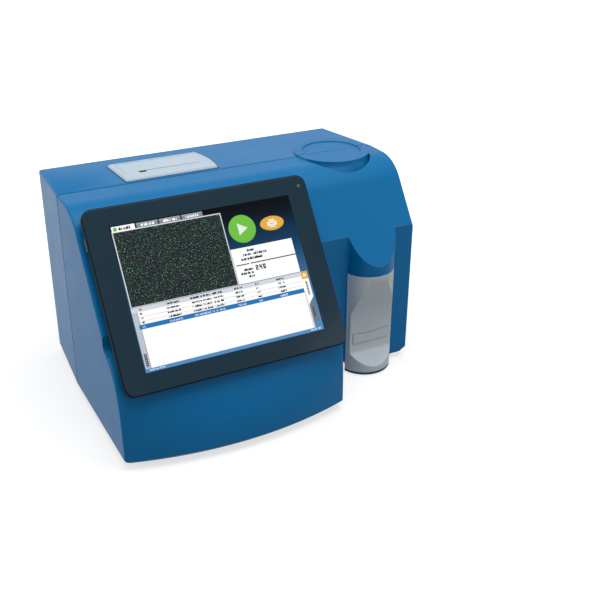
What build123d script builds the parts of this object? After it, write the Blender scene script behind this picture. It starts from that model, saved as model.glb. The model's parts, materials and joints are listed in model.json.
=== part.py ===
from build123d import *
import os
from math import atan2, cos, degrees, radians, sin, sqrt, tan

# Somatic cell counter, bench-top, with a tablet on its sloped front and a sample column beside it.
# Millimetres, +X to the user's right, +Y to the back, +Z up. While it is modelled, x = 0 is the left
# wall, y = 0 is the front wall of the tower on the right, and z = 0 is the lower edge of the housing.

# Housing
MAIN_WIDTH = 252.0
TOWER_WIDTH = 127.0
REAR_Y = 202.0
SEAM_Y = 96.0
TOP_Z = 232.0
REAR_TOP_Z = 226.0
SIDE_DRAFT = 7.5
SLOPE_DEG = 55.5
LEDGE_Z = 166.0
BROW_RADIUS = 45.0
WALL = 3.0
EDGE_RADIUS = 2.5
REAR_EDGE_RADIUS = 3.0
SIDE_BEVEL = 6.0
TOWER_BEVEL = 8.0
BEVEL_HEIGHT = 5.0

# Bowed lower front, under the tablet
RISER_Y = -26.8
SHELF_Z = 108.4
SHELF_RADIUS = 9.0
SHELF_FRONT_Y = -36.4
BOW_END_Y = -68.2
BOW_END_RISE = 72.0
BOW_END_SHOULDER_Y = -62.0
BOW_END_SHOULDER_Z = 95.0
BOW_MID_Y = -88.0
BOW_MID_RISE = 40.0
BOW_MID_SHOULDER_Y = -68.0
BOW_MID_SHOULDER_Z = 83.0
TOE_BEVEL = 3.5
SHELF_INSET_SHARE = 0.25
SHOULDER_INSET_SHARE = 0.7

# Round boss on top and the crescent pocket in front of it
BOSS_RADIUS = 44.0
BOSS_RISE = 2.0
DISH_RADIUS = 34.0
DISH_DEPTH = 1.0
POCKET_SHIFT = 1.8
POCKET_Y = 82.5
POCKET_RADIUS = 40.0
POCKET_Z = 218.0

# Joint between the two halves of the housing
SEAM_GAP = 0.8
TONGUE_LENGTH = 6.0
TONGUE_THICK = 2.0
TONGUE_CLEAR = 0.3
TONGUE_FOOT_Z = 14.0

# Floor: a steel plate that lies on the flange round the housing's underside
PLATE_THICK = 2.0
PLATE_CLEAR = 0.5
FLANGE = 16.0
FLOOR_SCREW_RADIUS = 2.5
FLOOR_SCREW_HEAD = 1.6

# Feet
FOOT_HEIGHT = 7.5
FOOT_RADIUS = 8.0
FOOT_BEVEL = 1.2
FOOT_SCREW_RADIUS = 3.0
FOOT_SCREW_DEPTH = 4.0
FOOT_INSET = 24.0
FOOT_FRONT_Y = -46.0
TOWER_FOOT_INSET = 23.0
TOWER_FOOT_Y = 13.0

# Column in front of the tower
COLUMN_PLACE_SHARE = 0.5654
COLUMN_Y = 8.6
COLUMN_RADIUS = 31.6
COLUMN_TOP_Z = 121.0
COLUMN_FOOT_Z = -3.0
COLUMN_WALL = 2.2
COLUMN_GAP = 0.4
FACET_Y = -6.5
FACET_LOW_Z = 20.0
FACET_HIGH_Z = 71.3
RUNOUT_LOW_Z = 4.0
RUNOUT_HIGH_Z = 112.3
WINDOW_HALF = 27.0
WINDOW_LOW_Z = 8.0
WINDOW_HIGH_Z = 112.0
TAB_THICK = 1.6
TAB_LENGTH = 3.6
TAB_CLEAR = 0.3
BASE_THICK = 3.0
BASE_SPIGOT = 3.0
BASE_REACH = 22.0
BASE_TAIL_WIDTH = 44.0

# Chip drawer
DRAWER_WIDTH = 48.0
DRAWER_LOW_Z = 30.7
DRAWER_FACE_HEIGHT = 13.3
DRAWER_DIP = 1.8
DRAWER_DIP_SHARE = 0.4
DRAWER_FACE_THICK = 2.4
DRAWER_PROUD = 0.5
DRAWER_CLEAR = 0.4
TRAY_WIDTH = 40.0
TRAY_THICK = 4.0
TRAY_END_Y = 92.0
TRAY_LIP = 3.0
CHIP_WIDTH = 24.0
CHIP_LENGTH = 60.0
CHIP_THICK = 1.8
CHIP_SINK = 1.0
CHIP_CLEAR = 0.2
CHIP_CHAMBER_RADIUS = 5.0
CHIP_PORT_RADIUS = 1.6
LIGHT_HOLE_RADIUS = 6.0

# Optics in the tower
AXIS_Y = 60.0
FRAME_FRONT_Y = 4.0
FRAME_HALF = 34.0
FRAME_BASE_THICK = 6.0
SPINE_FRONT_Y = 93.0
SPINE_THICK = 9.0
SPINE_HALF = 30.0
SPINE_WINDOW_HALF = 14.0
SPINE_WINDOW_LOW_Z = 80.0
SPINE_WINDOW_HIGH_Z = 160.0
RAIL_WIDTH = 7.0
RAIL_RISE = 4.0
RAIL_CLEAR = 0.2
LUG_FRONT_Y = 76.0
LUG_LOW_Z = 62.0
LUG_HIGH_Z = 166.0
LUG_THICK = 8.0
ROD_SPREAD = 22.0
ROD_Y = 84.0
ROD_RADIUS = 3.0
RUN_CLEAR = 0.05
SCREW_RADIUS = 2.0
DRAWER_SCREW_SHIFT = 13.2
DRAWER_SCREW_Z = 24.0
NUT_HALF = 3.2
NUT_LENGTH = 8.0
BEARING_THICK = 5.0
LAMP_RADIUS = 8.0
LAMP_TOP_Z = 26.5
LAMP_FLANGE = 2.0
LAMP_FIN_RADIUS = 10.0
FIN_THICK = 1.2
FIN_PITCH = 2.6
FILTER_RADIUS = 7.0
FILTER_THICK = 1.8
OBJECTIVE_TIP_Z = 41.0
OBJECTIVE_TIP_RADIUS = 5.0
OBJECTIVE_CONE_Z = 49.0
OBJECTIVE_RADIUS = 10.5
OBJECTIVE_TOP_Z = 92.0
OBJECTIVE_GRIP_RADIUS = 11.2
OBJECTIVE_GRIP_HEIGHT = 6.0
TUBE_RADIUS = 13.0
TUBE_TOP_Z = 146.0
TUBE_BORE_RADIUS = 9.0
CARRIAGE_LOW_Z = 102.0
CARRIAGE_HEIGHT = 26.0
CARRIAGE_HALF = 28.0
CARRIAGE_THICK = 12.0
CLAMP_WALL = 4.0
CAMERA_HALF = 17.0
CAMERA_THICK = 1.6
CAMERA_CASE_HALF = 14.0
CAMERA_CASE_HEIGHT = 14.0
MOTOR_HALF = 14.0
MOTOR_HEIGHT = 26.0
MOTOR_CORNER = 4.0
DRAWER_MOTOR_HALF = 10.0
DRAWER_MOTOR_LENGTH = 24.0

# Tablet, lying parallel to the slope: t runs down from its top edge, w is the height above the slope
TABLET_LEFT_X = 5.3
TABLET_WIDTH = 246.0
TABLET_LENGTH = 188.5
TABLET_TOP_V = 75.1
TABLET_GAP = 4.0
TABLET_THICK = 12.0
TABLET_CORNER = 10.5
TABLET_BELLY = 3.5
TRIM_THICK = 1.0
TRIM_PROUD = 0.3
GLASS_THICK = 1.8
GLASS_INSET = 0.9
GLASS_EDGE = 0.5
SCREEN_LEFT = 24.6
SCREEN_RIGHT = 24.4
SCREEN_TOP = 20.3
SCREEN_BOTTOM = 20.4
SCREEN_GAP = 0.1
LENS_RIGHT = 9.4
LENS_TOP = 12.2
LENS_RADIUS = 1.9
ROCKER_TOP = 27.0
ROCKER_LENGTH = 13.0
KEY_HEIGHT = 3.2
KEY_PROUD = 0.9
KEY_DEPTH = 2.6
KEY_CLEAR = 0.25
KEY_TRAVEL = 0.4
POWER_RIGHT = 26.0
POWER_LENGTH = 10.0
BRACKET_HALF = 62.0
BRACKET_LOW_V = -38.0
BRACKET_HIGH_V = 44.0
BRACKET_FRAME = 16.0
BRACKET_CORNER = 6.0
BRACKET_SCREW_RADIUS = 3.0
BRACKET_SCREW_HEAD = 1.8

# Printer in the rear top: v runs back from the seam along the drafted top, w is the height above it
BEZEL_LEFT_X = 77.0
BEZEL_RIGHT_X = 187.0
BEZEL_FRONT_V = 6.0
BEZEL_REAR_V = 75.0
BEZEL_THICK = 2.8
BEZEL_BEVEL = 2.0
BEZEL_BULGE = 4.0
BEZEL_CORNER = 2.5
SKIRT_INSET = 4.0
SKIRT_DEPTH = 8.0
SKIRT_CLEAR = 0.3
LID_INSET = 7.0
LID_FRONT_V = 31.6
LID_REAR_V = 69.7
LID_GAP = 0.3
LID_THICK = 2.2
HINGE_RADIUS = 2.4
HINGE_PIN_RADIUS = 1.0
HINGE_PIN_REACH = 2.6
SLIT_LEFT_X = 108.0
SLIT_RIGHT_X = 172.0
SLIT_WIDTH = 1.4
LATCH_LEFT_X = 99.5
LATCH_LENGTH = 8.0
LATCH_WIDTH = 2.2
LATCH_FRONT_V = 28.3
LATCH_CLEAR = 0.15
LATCH_SINK = 0.2
LATCH_STEM = 3.0
LATCH_FLANGE = 0.8
PLATEN_RADIUS = 4.2
PLATEN_V = 35.6
PLATEN_W = -4.5
PLATEN_LENGTH = 58.0
PLATEN_AXLE_RADIUS = 1.5
EAR_THICK = 3.0
EAR_GAP = 0.8
EAR_WALL = 2.2
HEAD_FRONT_V = 24.0
HEAD_FACE_V = 30.9
HEAD_TOP_W = -3.2
HEAD_HEIGHT = 10.0
BUCKET_DEPTH = 50.0
BUCKET_WALL = 2.0
ROLL_PAPER_RADIUS = 18.5
ROLL_CORE_RADIUS = 6.0
ROLL_V = 49.5
ROLL_W = -27.0
ROLL_CLEAR = 0.3

# Rear wall: a steel panel with the mains inlet, switch and sockets, and the fan with its guard
PANEL_LEFT_X = 36.0
PANEL_RIGHT_X = 232.0
PANEL_LOW_Z = 17.0
PANEL_HIGH_Z = 56.0
PANEL_CORNER = 4.0
PANEL_LAP = 6.0
PANEL_THICK = 1.5
PANEL_SCREW_RADIUS = 2.8
INLET_X = 63.0
INLET_Z = 36.0
INLET_WIDTH = 27.0
INLET_HEIGHT = 20.0
INLET_FLANGE = 3.0
INLET_FLANGE_THICK = 2.0
INLET_DEPTH = 22.0
INLET_MOUTH_WIDTH = 24.0
INLET_MOUTH_HEIGHT = 16.4
INLET_MOUTH_DEPTH = 17.0
INLET_MOUTH_CORNER = 3.0
BLADE_WIDTH = 4.0
BLADE_THICK = 2.0
BLADE_LENGTH = 11.0
BLADE_SPREAD = 7.0
BLADE_DROP = 1.5
EARTH_RISE = 2.5
SWITCH_X = 97.0
SWITCH_WIDTH = 13.0
SWITCH_HEIGHT = 19.4
SWITCH_FLANGE = 1.6
SWITCH_DEPTH = 15.0
SWITCH_WALL = 1.2
SWITCH_TILT = 7.0
SWITCH_CLEAR = 0.8
SWITCH_PIVOT_RADIUS = 1.2
SWITCH_PIVOT_DEPTH = 3.0
SOCKET_Z = 30.0
LAN_X = 168.0
LAN_WIDTH = 16.0
LAN_HEIGHT = 13.5
LAN_DEPTH = 21.0
LAN_MOUTH_WIDTH = 11.8
LAN_MOUTH_HEIGHT = 8.0
LAN_MOUTH_DEPTH = 14.0
LAN_STEP_WIDTH = 8.0
LAN_STEP_DEPTH = 2.0
USB_X = 196.0
USB_PITCH = 20.0
USB_WIDTH = 14.5
USB_HEIGHT = 7.2
USB_DEPTH = 17.0
USB_SHELL = 0.6
USB_MOUTH_DEPTH = 12.0
USB_TONGUE = 1.9
SOCKET_CLEAR = 0.2
SOCKET_PROUD = 0.6
FAN_X = 208.0
FAN_Z = 122.0
FAN_SIZE = 60.0
FAN_DEPTH = 15.0
FAN_CORNER = 4.0
FAN_BORE_RADIUS = 28.5
FAN_HUB_RADIUS = 13.0
FAN_TIP_GAP = 1.0
FAN_BLADES = 7
FAN_BLADE_THICK = 1.4
FAN_BLADE_PITCH = 38.0
FAN_AXLE_RADIUS = 1.5
FAN_SPOKE = 3.0
FAN_SPOKE_THICK = 2.5
FAN_SCREW_PITCH = 50.0
GUARD_RADIUS = 30.0
GUARD_THICK = 1.6
GUARD_RING = 1.8
GUARD_PITCH = 5.2
GUARD_HUB_RADIUS = 9.0
GUARD_SPOKE = 3.0
GUARD_EAR_RADIUS = 5.0
GUARD_SPOKE_DEGREES = (45.0, 135.0)
PAN_HEAD_RADIUS = 3.2
PAN_HEAD_HEIGHT = 1.8

# Electronics on the floor plate
BOARD_X = 30.0
BOARD_Y = -48.0
BOARD_WIDTH = 160.0
BOARD_LENGTH = 96.0
BOARD_THICK = 1.6
STANDOFF_HEIGHT = 8.0
STANDOFF_RADIUS = 3.0
STANDOFF_INSET = 5.0
SINK_WIDTH = 40.0
SINK_HEIGHT = 16.0
SINK_FIN = 2.0
SINK_GAP = 3.0
CHIP_PACK = 22.0
CHIP_PACK_HEIGHT = 3.0
CHIP_PACK_SHARES = (0.15, 0.75)
HEADER_LENGTH = 44.0
HEADER_WIDTH = 8.0
HEADER_HEIGHT = 9.0
SUPPLY_X = 28.0
SUPPLY_Y = 66.0
SUPPLY_WIDTH = 112.0
SUPPLY_LENGTH = 84.0
SUPPLY_HEIGHT = 36.0
SUPPLY_SLOT = 3.0
SUPPLY_SLOT_COUNT = 9
SUPPLY_SKIN = 1.5

OVERRUN = 10.0

# Places that follow from the sizes above
full_width = MAIN_WIDTH + TOWER_WIDTH
column_x = MAIN_WIDTH + TOWER_WIDTH * COLUMN_PLACE_SHARE
pocket_x = column_x - POCKET_SHIFT
drawer_screw_x = column_x + DRAWER_SCREW_SHIFT
tower_foot_x = full_width - TOWER_FOOT_INSET
slope_rise = tan(radians(SLOPE_DEG))
brow_y = (TOP_Z - LEDGE_Z) / slope_rise
shelf_foot_y = RISER_Y - SHELF_RADIUS - TONGUE_CLEAR
top_fall_deg = degrees(atan2(TOP_Z - REAR_TOP_Z, REAR_Y - SEAM_Y))
floor_z = WALL + PLATE_THICK
inner_rear_y = REAR_Y - WALL
panel_mid_x = (PANEL_LEFT_X + PANEL_RIGHT_X) / 2
panel_mid_z = (PANEL_LOW_Z + PANEL_HIGH_Z) / 2
panel_width = PANEL_RIGHT_X - PANEL_LEFT_X
panel_height = PANEL_HIGH_Z - PANEL_LOW_Z
spine_top_z = LUG_HIGH_Z + LUG_THICK
tray_z = DRAWER_LOW_Z
rail_x = TRAY_WIDTH / 2 - TRAY_LIP
frame_base_z = floor_z + FRAME_BASE_THICK
slit_mid_x = (SLIT_LEFT_X + SLIT_RIGHT_X) / 2
lid_left_x = BEZEL_LEFT_X + LID_INSET
lid_right_x = BEZEL_RIGHT_X - LID_INSET
hinge_v = LID_REAR_V - HINGE_RADIUS
hinge_w = BEZEL_THICK - HINGE_RADIUS
glass_w = TABLET_GAP + TABLET_THICK - GLASS_THICK
trim_w = glass_w - TRIM_THICK
tablet_mid_x = TABLET_LEFT_X + TABLET_WIDTH / 2
tablet_mid_v = TABLET_TOP_V - TABLET_LENGTH / 2
screen_width = TABLET_WIDTH - SCREEN_LEFT - SCREEN_RIGHT
screen_height = TABLET_LENGTH - SCREEN_TOP - SCREEN_BOTTOM
screen_mid_x = TABLET_LEFT_X + SCREEN_LEFT + screen_width / 2
screen_mid_v = TABLET_TOP_V - SCREEN_TOP - screen_height / 2

slope_plane = Plane((0, 0, LEDGE_Z), (1, 0, 0), (0, -sin(radians(SLOPE_DEG)), cos(radians(SLOPE_DEG))))
top_plane = Plane((0, SEAM_Y, TOP_Z), (1, 0, 0), (0, sin(radians(top_fall_deg)), cos(radians(top_fall_deg))))


def block(x0, x1, y0, y1, z0, z1):
    """Box between two corners."""
    return Pos(x0, y0, z0) * Box(x1 - x0, y1 - y0, z1 - z0, align=(Align.MIN, Align.MIN, Align.MIN))


def post(x, y, z0, z1, radius):
    """Upright cylinder."""
    return Pos(x, y, z0) * Cylinder(radius, z1 - z0, align=(Align.CENTER, Align.CENTER, Align.MIN))


def bar_x(y, z, x0, x1, radius):
    """Cylinder from left to right."""
    bar = Cylinder(radius, x1 - x0, align=(Align.CENTER, Align.CENTER, Align.MIN))
    return Pos(x0, y, z) * Rot(Y=90) * bar


def bar_y(x, z, y0, y1, radius):
    """Cylinder from front to back."""
    bar = Cylinder(radius, y1 - y0, align=(Align.CENTER, Align.CENTER, Align.MIN))
    return Pos(x, y0, z) * Rot(X=-90) * bar


def outline(points, radii):
    """Closed outline with a radius at each corner."""
    return make_face(FilletPolyline(*points, radius=radii, close=True))


def inward(face, inset):
    """The outline moved inwards by inset, with sharp corners kept sharp."""
    if inset == 0:
        return face
    return offset(face, amount=-inset, kind=Kind.INTERSECTION)


def across(face, x0, x1):
    """A side view (y, z) run from x0 to x1."""
    return extrude(Plane.YZ.offset(x0) * face, x1 - x0)


def along(face, y0, y1):
    """A front view (x, z) run from y0 to y1."""
    return extrude(Plane.XZ.offset(-y0) * face, y0 - y1)


def upward(face, z0, z1):
    """A plan view (x, y) run from z0 to z1."""
    return extrude(Plane.XY.offset(z0) * face, z1 - z0)


def edges_at(shape, axis, place):
    """The straight and curved edges that lie wholly at one place along an axis."""
    return shape.edges().filter_by_position(axis, place, place)


def slope_z(y):
    """Height of the sloped front at y."""
    return LEDGE_Z + y * slope_rise


def above_slope(inset):
    """Everything over the sloped front, moved down by inset."""
    far = 2 * full_width
    return slope_plane * block(-far, far, -far, far, -inset, far)


# Housing outside and inside: the same shapes, moved inwards by the wall for the inside


def end_view(draft, top):
    """Front view of the housing's section, bevelled underneath and rounded on top."""
    right = full_width - draft
    points = [
        (draft, BEVEL_HEIGHT),
        (draft + SIDE_BEVEL, 0),
        (right - TOWER_BEVEL, 0),
        (right, BEVEL_HEIGHT),
        (right, top),
        (draft, top),
    ]
    return outline(points, [0, 0, 0, 0, EDGE_RADIUS, EDGE_RADIUS])


def main_side(inset):
    """Side view of the main body: lower front, shelf, riser, slope, brow and top."""
    rear = SEAM_Y + 2 * inset
    points = [
        (rear, 0),
        (shelf_foot_y, 0),
        (shelf_foot_y, SHELF_Z),
        (RISER_Y, SHELF_Z),
        (RISER_Y, slope_z(RISER_Y)),
        (brow_y, TOP_Z),
        (rear, TOP_Z),
    ]
    return inward(outline(points, [0, 0, 0, SHELF_RADIUS, 0, BROW_RADIUS, 0]), inset)


def tower_side(inset):
    """Side view of the tower: upright front wall, slope, brow and top."""
    rear = SEAM_Y + 2 * inset
    points = [(rear, 0), (0, 0), (0, LEDGE_Z), (brow_y, TOP_Z), (rear, TOP_Z)]
    return inward(outline(points, [0, 0, 0, BROW_RADIUS, 0]), inset)


def bow_section(front_y, rise, shoulder_y, shoulder_z, inset):
    """Side view of the lower front at one place across its width."""
    front = front_y + inset
    edge = (SHELF_FRONT_Y + inset * SHELF_INSET_SHARE, SHELF_Z - inset)
    shoulder = (shoulder_y + inset * SHOULDER_INSET_SHARE, shoulder_z - inset * SHOULDER_INSET_SHARE)
    toe = inset + TOE_BEVEL
    path = Polyline(edge, (RISER_Y, SHELF_Z - inset), (RISER_Y, inset), (front_y + toe, inset), (front, toe))
    path += Bezier((front, toe), (front, rise), shoulder, edge)
    return make_face(path)


def bowed_front(inset):
    """Lower front with its roll up to the shelf: steep at the ends, bowed and laid back in the middle."""
    end = bow_section(BOW_END_Y, BOW_END_RISE, BOW_END_SHOULDER_Y, BOW_END_SHOULDER_Z, inset)
    middle = bow_section(BOW_MID_Y, BOW_MID_RISE, BOW_MID_SHOULDER_Y, BOW_MID_SHOULDER_Z, inset)
    places = ((inset, end), (MAIN_WIDTH / 2, middle), (MAIN_WIDTH - inset, end))
    bow = loft([Plane.YZ.offset(x) * section for x, section in places])
    if inset == 0:
        for side in (0, MAIN_WIDTH):
            corner = [edge for edge in edges_at(bow, Axis.X, side) if edge.center().Y < BOW_END_SHOULDER_Y]
            bow = fillet(corner, EDGE_RADIUS)
    return bow


def collar(inset):
    """Upper end of the column, cut off level with the slope. Its inside is open below."""
    low = COLUMN_TOP_Z - (OVERRUN if inset else 0)
    tube = post(column_x, COLUMN_Y, low, TOP_Z, COLUMN_RADIUS - inset)
    return tube - above_slope(inset) - block(0, full_width, COLUMN_Y, REAR_Y, 0, TOP_Z + OVERRUN)


def pocket(grown):
    """Crescent pocket sunk into the brow in front of the round boss."""
    return post(pocket_x, POCKET_Y, POCKET_Z - grown, TOP_Z + OVERRUN, POCKET_RADIUS + grown)


def boss(inset):
    """Round boss across the seam."""
    low = POCKET_Z - WALL - (OVERRUN if inset else 0)
    high = TOP_Z + BOSS_RISE - (DISH_DEPTH + inset if inset else 0)
    return post(column_x, SEAM_Y, low, high, BOSS_RADIUS - inset)


def dish():
    """Shallow round dish in the boss."""
    high = TOP_Z + BOSS_RISE
    return post(column_x, SEAM_Y, high - DISH_DEPTH, high + OVERRUN, DISH_RADIUS)


def front_body(inset):
    """Everything in front of the seam, outside (inset 0) or inside."""
    main = across(main_side(inset), inset, MAIN_WIDTH - inset)
    tower = across(tower_side(inset), MAIN_WIDTH / 2, full_width - inset)
    bow = bowed_front(inset)
    if inset == 0:
        left = [edge for edge in edges_at(main, Axis.X, 0) if edge.center().Z > SHELF_Z]
        upper = [edge for edge in left if edge.center().Y < SEAM_Y]
        main = fillet([edge for edge in upper if edge.center().Y > RISER_Y], EDGE_RADIUS)
        side = [edge for edge in edges_at(tower, Axis.X, full_width) if edge.center().Z > LEDGE_Z / 2]
        tower = fillet([edge for edge in side if edge.center().Y < SEAM_Y], EDGE_RADIUS)
    body = main + tower + bow + collar(inset)
    view = inward(end_view(0, TOP_Z + OVERRUN), inset)
    return body & along(view, BOW_MID_Y - OVERRUN, SEAM_Y + inset)


def rear_body(inset):
    """Everything behind the seam, drafted inwards to the rear wall."""
    near = Plane.XZ.offset(inset - SEAM_Y) * inward(end_view(0, TOP_Z), inset)
    far = Plane.XZ.offset(inset - REAR_Y) * inward(end_view(SIDE_DRAFT, REAR_TOP_Z), inset)
    body = loft([near, far], ruled=True)
    if inset == 0:
        body = fillet(edges_at(body, Axis.Y, REAR_Y), REAR_EDGE_RADIUS)
    return body


def floor_opening(y0, y1):
    """Opening in the underside that leaves a flange for the floor plate."""
    right = full_width - SIDE_DRAFT - FLANGE
    return block(SIDE_DRAFT + FLANGE, right, y0, y1, -OVERRUN, WALL + OVERRUN / 2)


def slice_off(y0, y1):
    """Everything between two places from front to back."""
    return block(-OVERRUN, full_width + OVERRUN, y0, y1, -OVERRUN, TOP_Z + OVERRUN)


def front_cover():
    """Front half of the housing, with the column's window in its tower wall."""
    skin = (front_body(0) - pocket(0)) + boss(0) - dish()
    room = (front_body(WALL) - pocket(WALL)) + boss(WALL)
    shell = skin - room - slice_off(SEAM_Y - SEAM_GAP / 2, REAR_Y)
    left = column_x - WINDOW_HALF
    right = column_x + WINDOW_HALF
    shell -= block(left, right, -OVERRUN / 5, WALL + OVERRUN / 5, WINDOW_LOW_Z, WINDOW_HIGH_Z)
    return shell - floor_opening(RISER_Y - FLANGE, SEAM_Y)


def seam_band(inset, thick):
    """A band that follows the inside of the seam, outline only."""
    return inward(end_view(0, TOP_Z), inset) - inward(end_view(0, TOP_Z), inset + thick)


def rear_housing():
    """Rear half of the housing, with its tongue into the front cover and its cut-outs."""
    skin = rear_body(0) + boss(0) - dish()
    room = rear_body(WALL) + boss(WALL)
    shell = skin - room - slice_off(-OVERRUN, SEAM_Y + SEAM_GAP / 2)
    start = SEAM_Y + SEAM_GAP / 2
    root = start + TONGUE_THICK
    tongue = along(seam_band(WALL + TONGUE_CLEAR, TONGUE_THICK), SEAM_Y - TONGUE_LENGTH, root)
    tongue += along(seam_band(WALL / 2, WALL / 2 + TONGUE_CLEAR + TONGUE_THICK), start, root)
    tongue -= block(-OVERRUN, full_width + OVERRUN, 0, REAR_Y, -OVERRUN, TONGUE_FOOT_Z)
    tongue -= post(column_x, SEAM_Y, 0, TOP_Z + OVERRUN, BOSS_RADIUS + TONGUE_THICK)
    shell += tongue
    shell -= floor_opening(0, REAR_Y - SIDE_DRAFT - FLANGE)
    shell -= top_plane * block(
        BEZEL_LEFT_X + SKIRT_INSET - SKIRT_CLEAR,
        BEZEL_RIGHT_X - SKIRT_INSET + SKIRT_CLEAR,
        BEZEL_FRONT_V + SKIRT_INSET - SKIRT_CLEAR,
        BEZEL_REAR_V - SKIRT_INSET / 2 + SKIRT_CLEAR,
        -WALL - OVERRUN / 2,
        OVERRUN,
    )
    window = along(panel_face(0), inner_rear_y - OVERRUN, REAR_Y + OVERRUN)
    return shell - window - bar_y(FAN_X, FAN_Z, inner_rear_y - OVERRUN, REAR_Y + OVERRUN, FAN_BORE_RADIUS)


def panel_face(grown):
    """Front view of the rear panel's window in the housing, or of the panel itself."""
    face = RectangleRounded(panel_width + 2 * grown, panel_height + 2 * grown, PANEL_CORNER)
    return Pos(panel_mid_x, panel_mid_z) * face


def panel_cut(x, z, width, height):
    """Opening through the rear panel round a point."""
    wide = width + 2 * SOCKET_CLEAR
    return wall_block(x, z, wide, height + 2 * SOCKET_CLEAR, inner_rear_y - OVERRUN, REAR_Y)


def rear_panel():
    """Steel panel behind the rear window, with openings for the inlet, the switch and the sockets."""
    panel = along(panel_face(PANEL_LAP), inner_rear_y - PANEL_THICK, inner_rear_y)
    panel -= panel_cut(INLET_X, INLET_Z, INLET_WIDTH, INLET_HEIGHT)
    panel -= panel_cut(SWITCH_X, INLET_Z, SWITCH_WIDTH, SWITCH_HEIGHT)
    panel -= panel_cut(LAN_X, SOCKET_Z, LAN_WIDTH, LAN_HEIGHT)
    for x in usb_places():
        panel -= panel_cut(x, SOCKET_Z, USB_WIDTH, USB_HEIGHT)
    return panel


def panel_screws():
    """Pan heads of the rear panel's screws, inside its corners."""
    inset = PANEL_SCREW_RADIUS + PANEL_CORNER / 2
    heads = []
    for x in (PANEL_LEFT_X + inset, PANEL_RIGHT_X - inset):
        for z in (PANEL_LOW_Z + inset, PANEL_HIGH_Z - inset):
            heads.append(bar_y(x, z, inner_rear_y, inner_rear_y + PAN_HEAD_HEIGHT, PANEL_SCREW_RADIUS))
    return heads


def floor_screw_places():
    """Where the floor plate is screwed to the flange."""
    left = SIDE_DRAFT + FLANGE / 2
    right = full_width - SIDE_DRAFT - FLANGE / 2
    back = REAR_Y - SIDE_DRAFT - FLANGE / 2
    return [
        (left, SEAM_Y - 2 * FLANGE),
        (left, SEAM_Y + 2 * FLANGE),
        (right, SEAM_Y - 2 * FLANGE),
        (right, SEAM_Y + 2 * FLANGE),
        (MAIN_WIDTH / 3, back),
        (MAIN_WIDTH, back),
        (MAIN_WIDTH / 3, RISER_Y - FLANGE - FLANGE / 2),
        (MAIN_WIDTH * 2 / 3, RISER_Y - FLANGE - FLANGE / 2),
    ]


def chassis_plate():
    """Steel floor plate with the board's standoffs, its outline taken from the housing's inside."""
    slab = block(0, full_width, BOW_MID_Y, REAR_Y, WALL, floor_z)
    front = front_body(WALL + PLATE_CLEAR) & slab
    plate = front + (rear_body(WALL + PLATE_CLEAR) & slab)
    for x, y in standoff_places():
        plate += post(x, y, floor_z, floor_z + STANDOFF_HEIGHT, STANDOFF_RADIUS)
    return plate


def floor_screws():
    """Pan-head screws under the housing that hold the floor plate."""
    heads = []
    for x, y in floor_screw_places():
        heads.append(post(x, y, -FLOOR_SCREW_HEAD, 0, FLOOR_SCREW_RADIUS))
    return heads


def foot(x, y):
    """Rubber foot with a bevelled tread and a hole for its screw."""
    body = post(x, y, -FOOT_HEIGHT, 0, FOOT_RADIUS)
    body = chamfer(body.edges().sort_by(Axis.Z)[0], FOOT_BEVEL)
    return body - post(x, y, -FOOT_HEIGHT - OVERRUN, FOOT_SCREW_DEPTH - FOOT_HEIGHT, FOOT_SCREW_RADIUS)


def foot_places():
    """Middles of the feet: four under the main body and the rear, one under the tower's front."""
    right = tower_foot_x - SIDE_DRAFT / 2
    back = REAR_Y - FOOT_INSET
    return [
        (FOOT_INSET, FOOT_FRONT_Y),
        (MAIN_WIDTH - FOOT_INSET, FOOT_FRONT_Y),
        (tower_foot_x, TOWER_FOOT_Y),
        (FOOT_INSET, back),
        (right, back),
    ]


# Column in front of the tower


def facet_room(grown):
    """Room in front of the column's flat facet and its two run-outs."""
    far = FACET_Y - COLUMN_RADIUS
    front = COLUMN_Y - COLUMN_RADIUS
    points = [
        (far, RUNOUT_HIGH_Z),
        (front, RUNOUT_HIGH_Z),
        (FACET_Y, FACET_HIGH_Z),
        (FACET_Y, FACET_LOW_Z),
        (front, RUNOUT_LOW_Z),
        (far, RUNOUT_LOW_Z),
    ]
    face = inward(outline(points, [0, 0, 0, 0, 0, 0]), -grown)
    return across(face, column_x - 2 * COLUMN_RADIUS, column_x + 2 * COLUMN_RADIUS)


def drawer_face(grown):
    """Front of the drawer, with a wave in its upper edge."""
    left = column_x - DRAWER_WIDTH / 2 - grown
    right = column_x + DRAWER_WIDTH / 2 + grown
    low = DRAWER_LOW_Z - grown
    high = DRAWER_LOW_Z + DRAWER_FACE_HEIGHT + grown
    dip_x = left + (right - left) * DRAWER_DIP_SHARE
    path = Polyline((left, high), (left, low), (right, low), (right, high))
    path += Spline((right, high), (dip_x, high - DRAWER_DIP), (left, high), tangents=[(-1, 0), (-1, 0)])
    return make_face(path)


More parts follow.
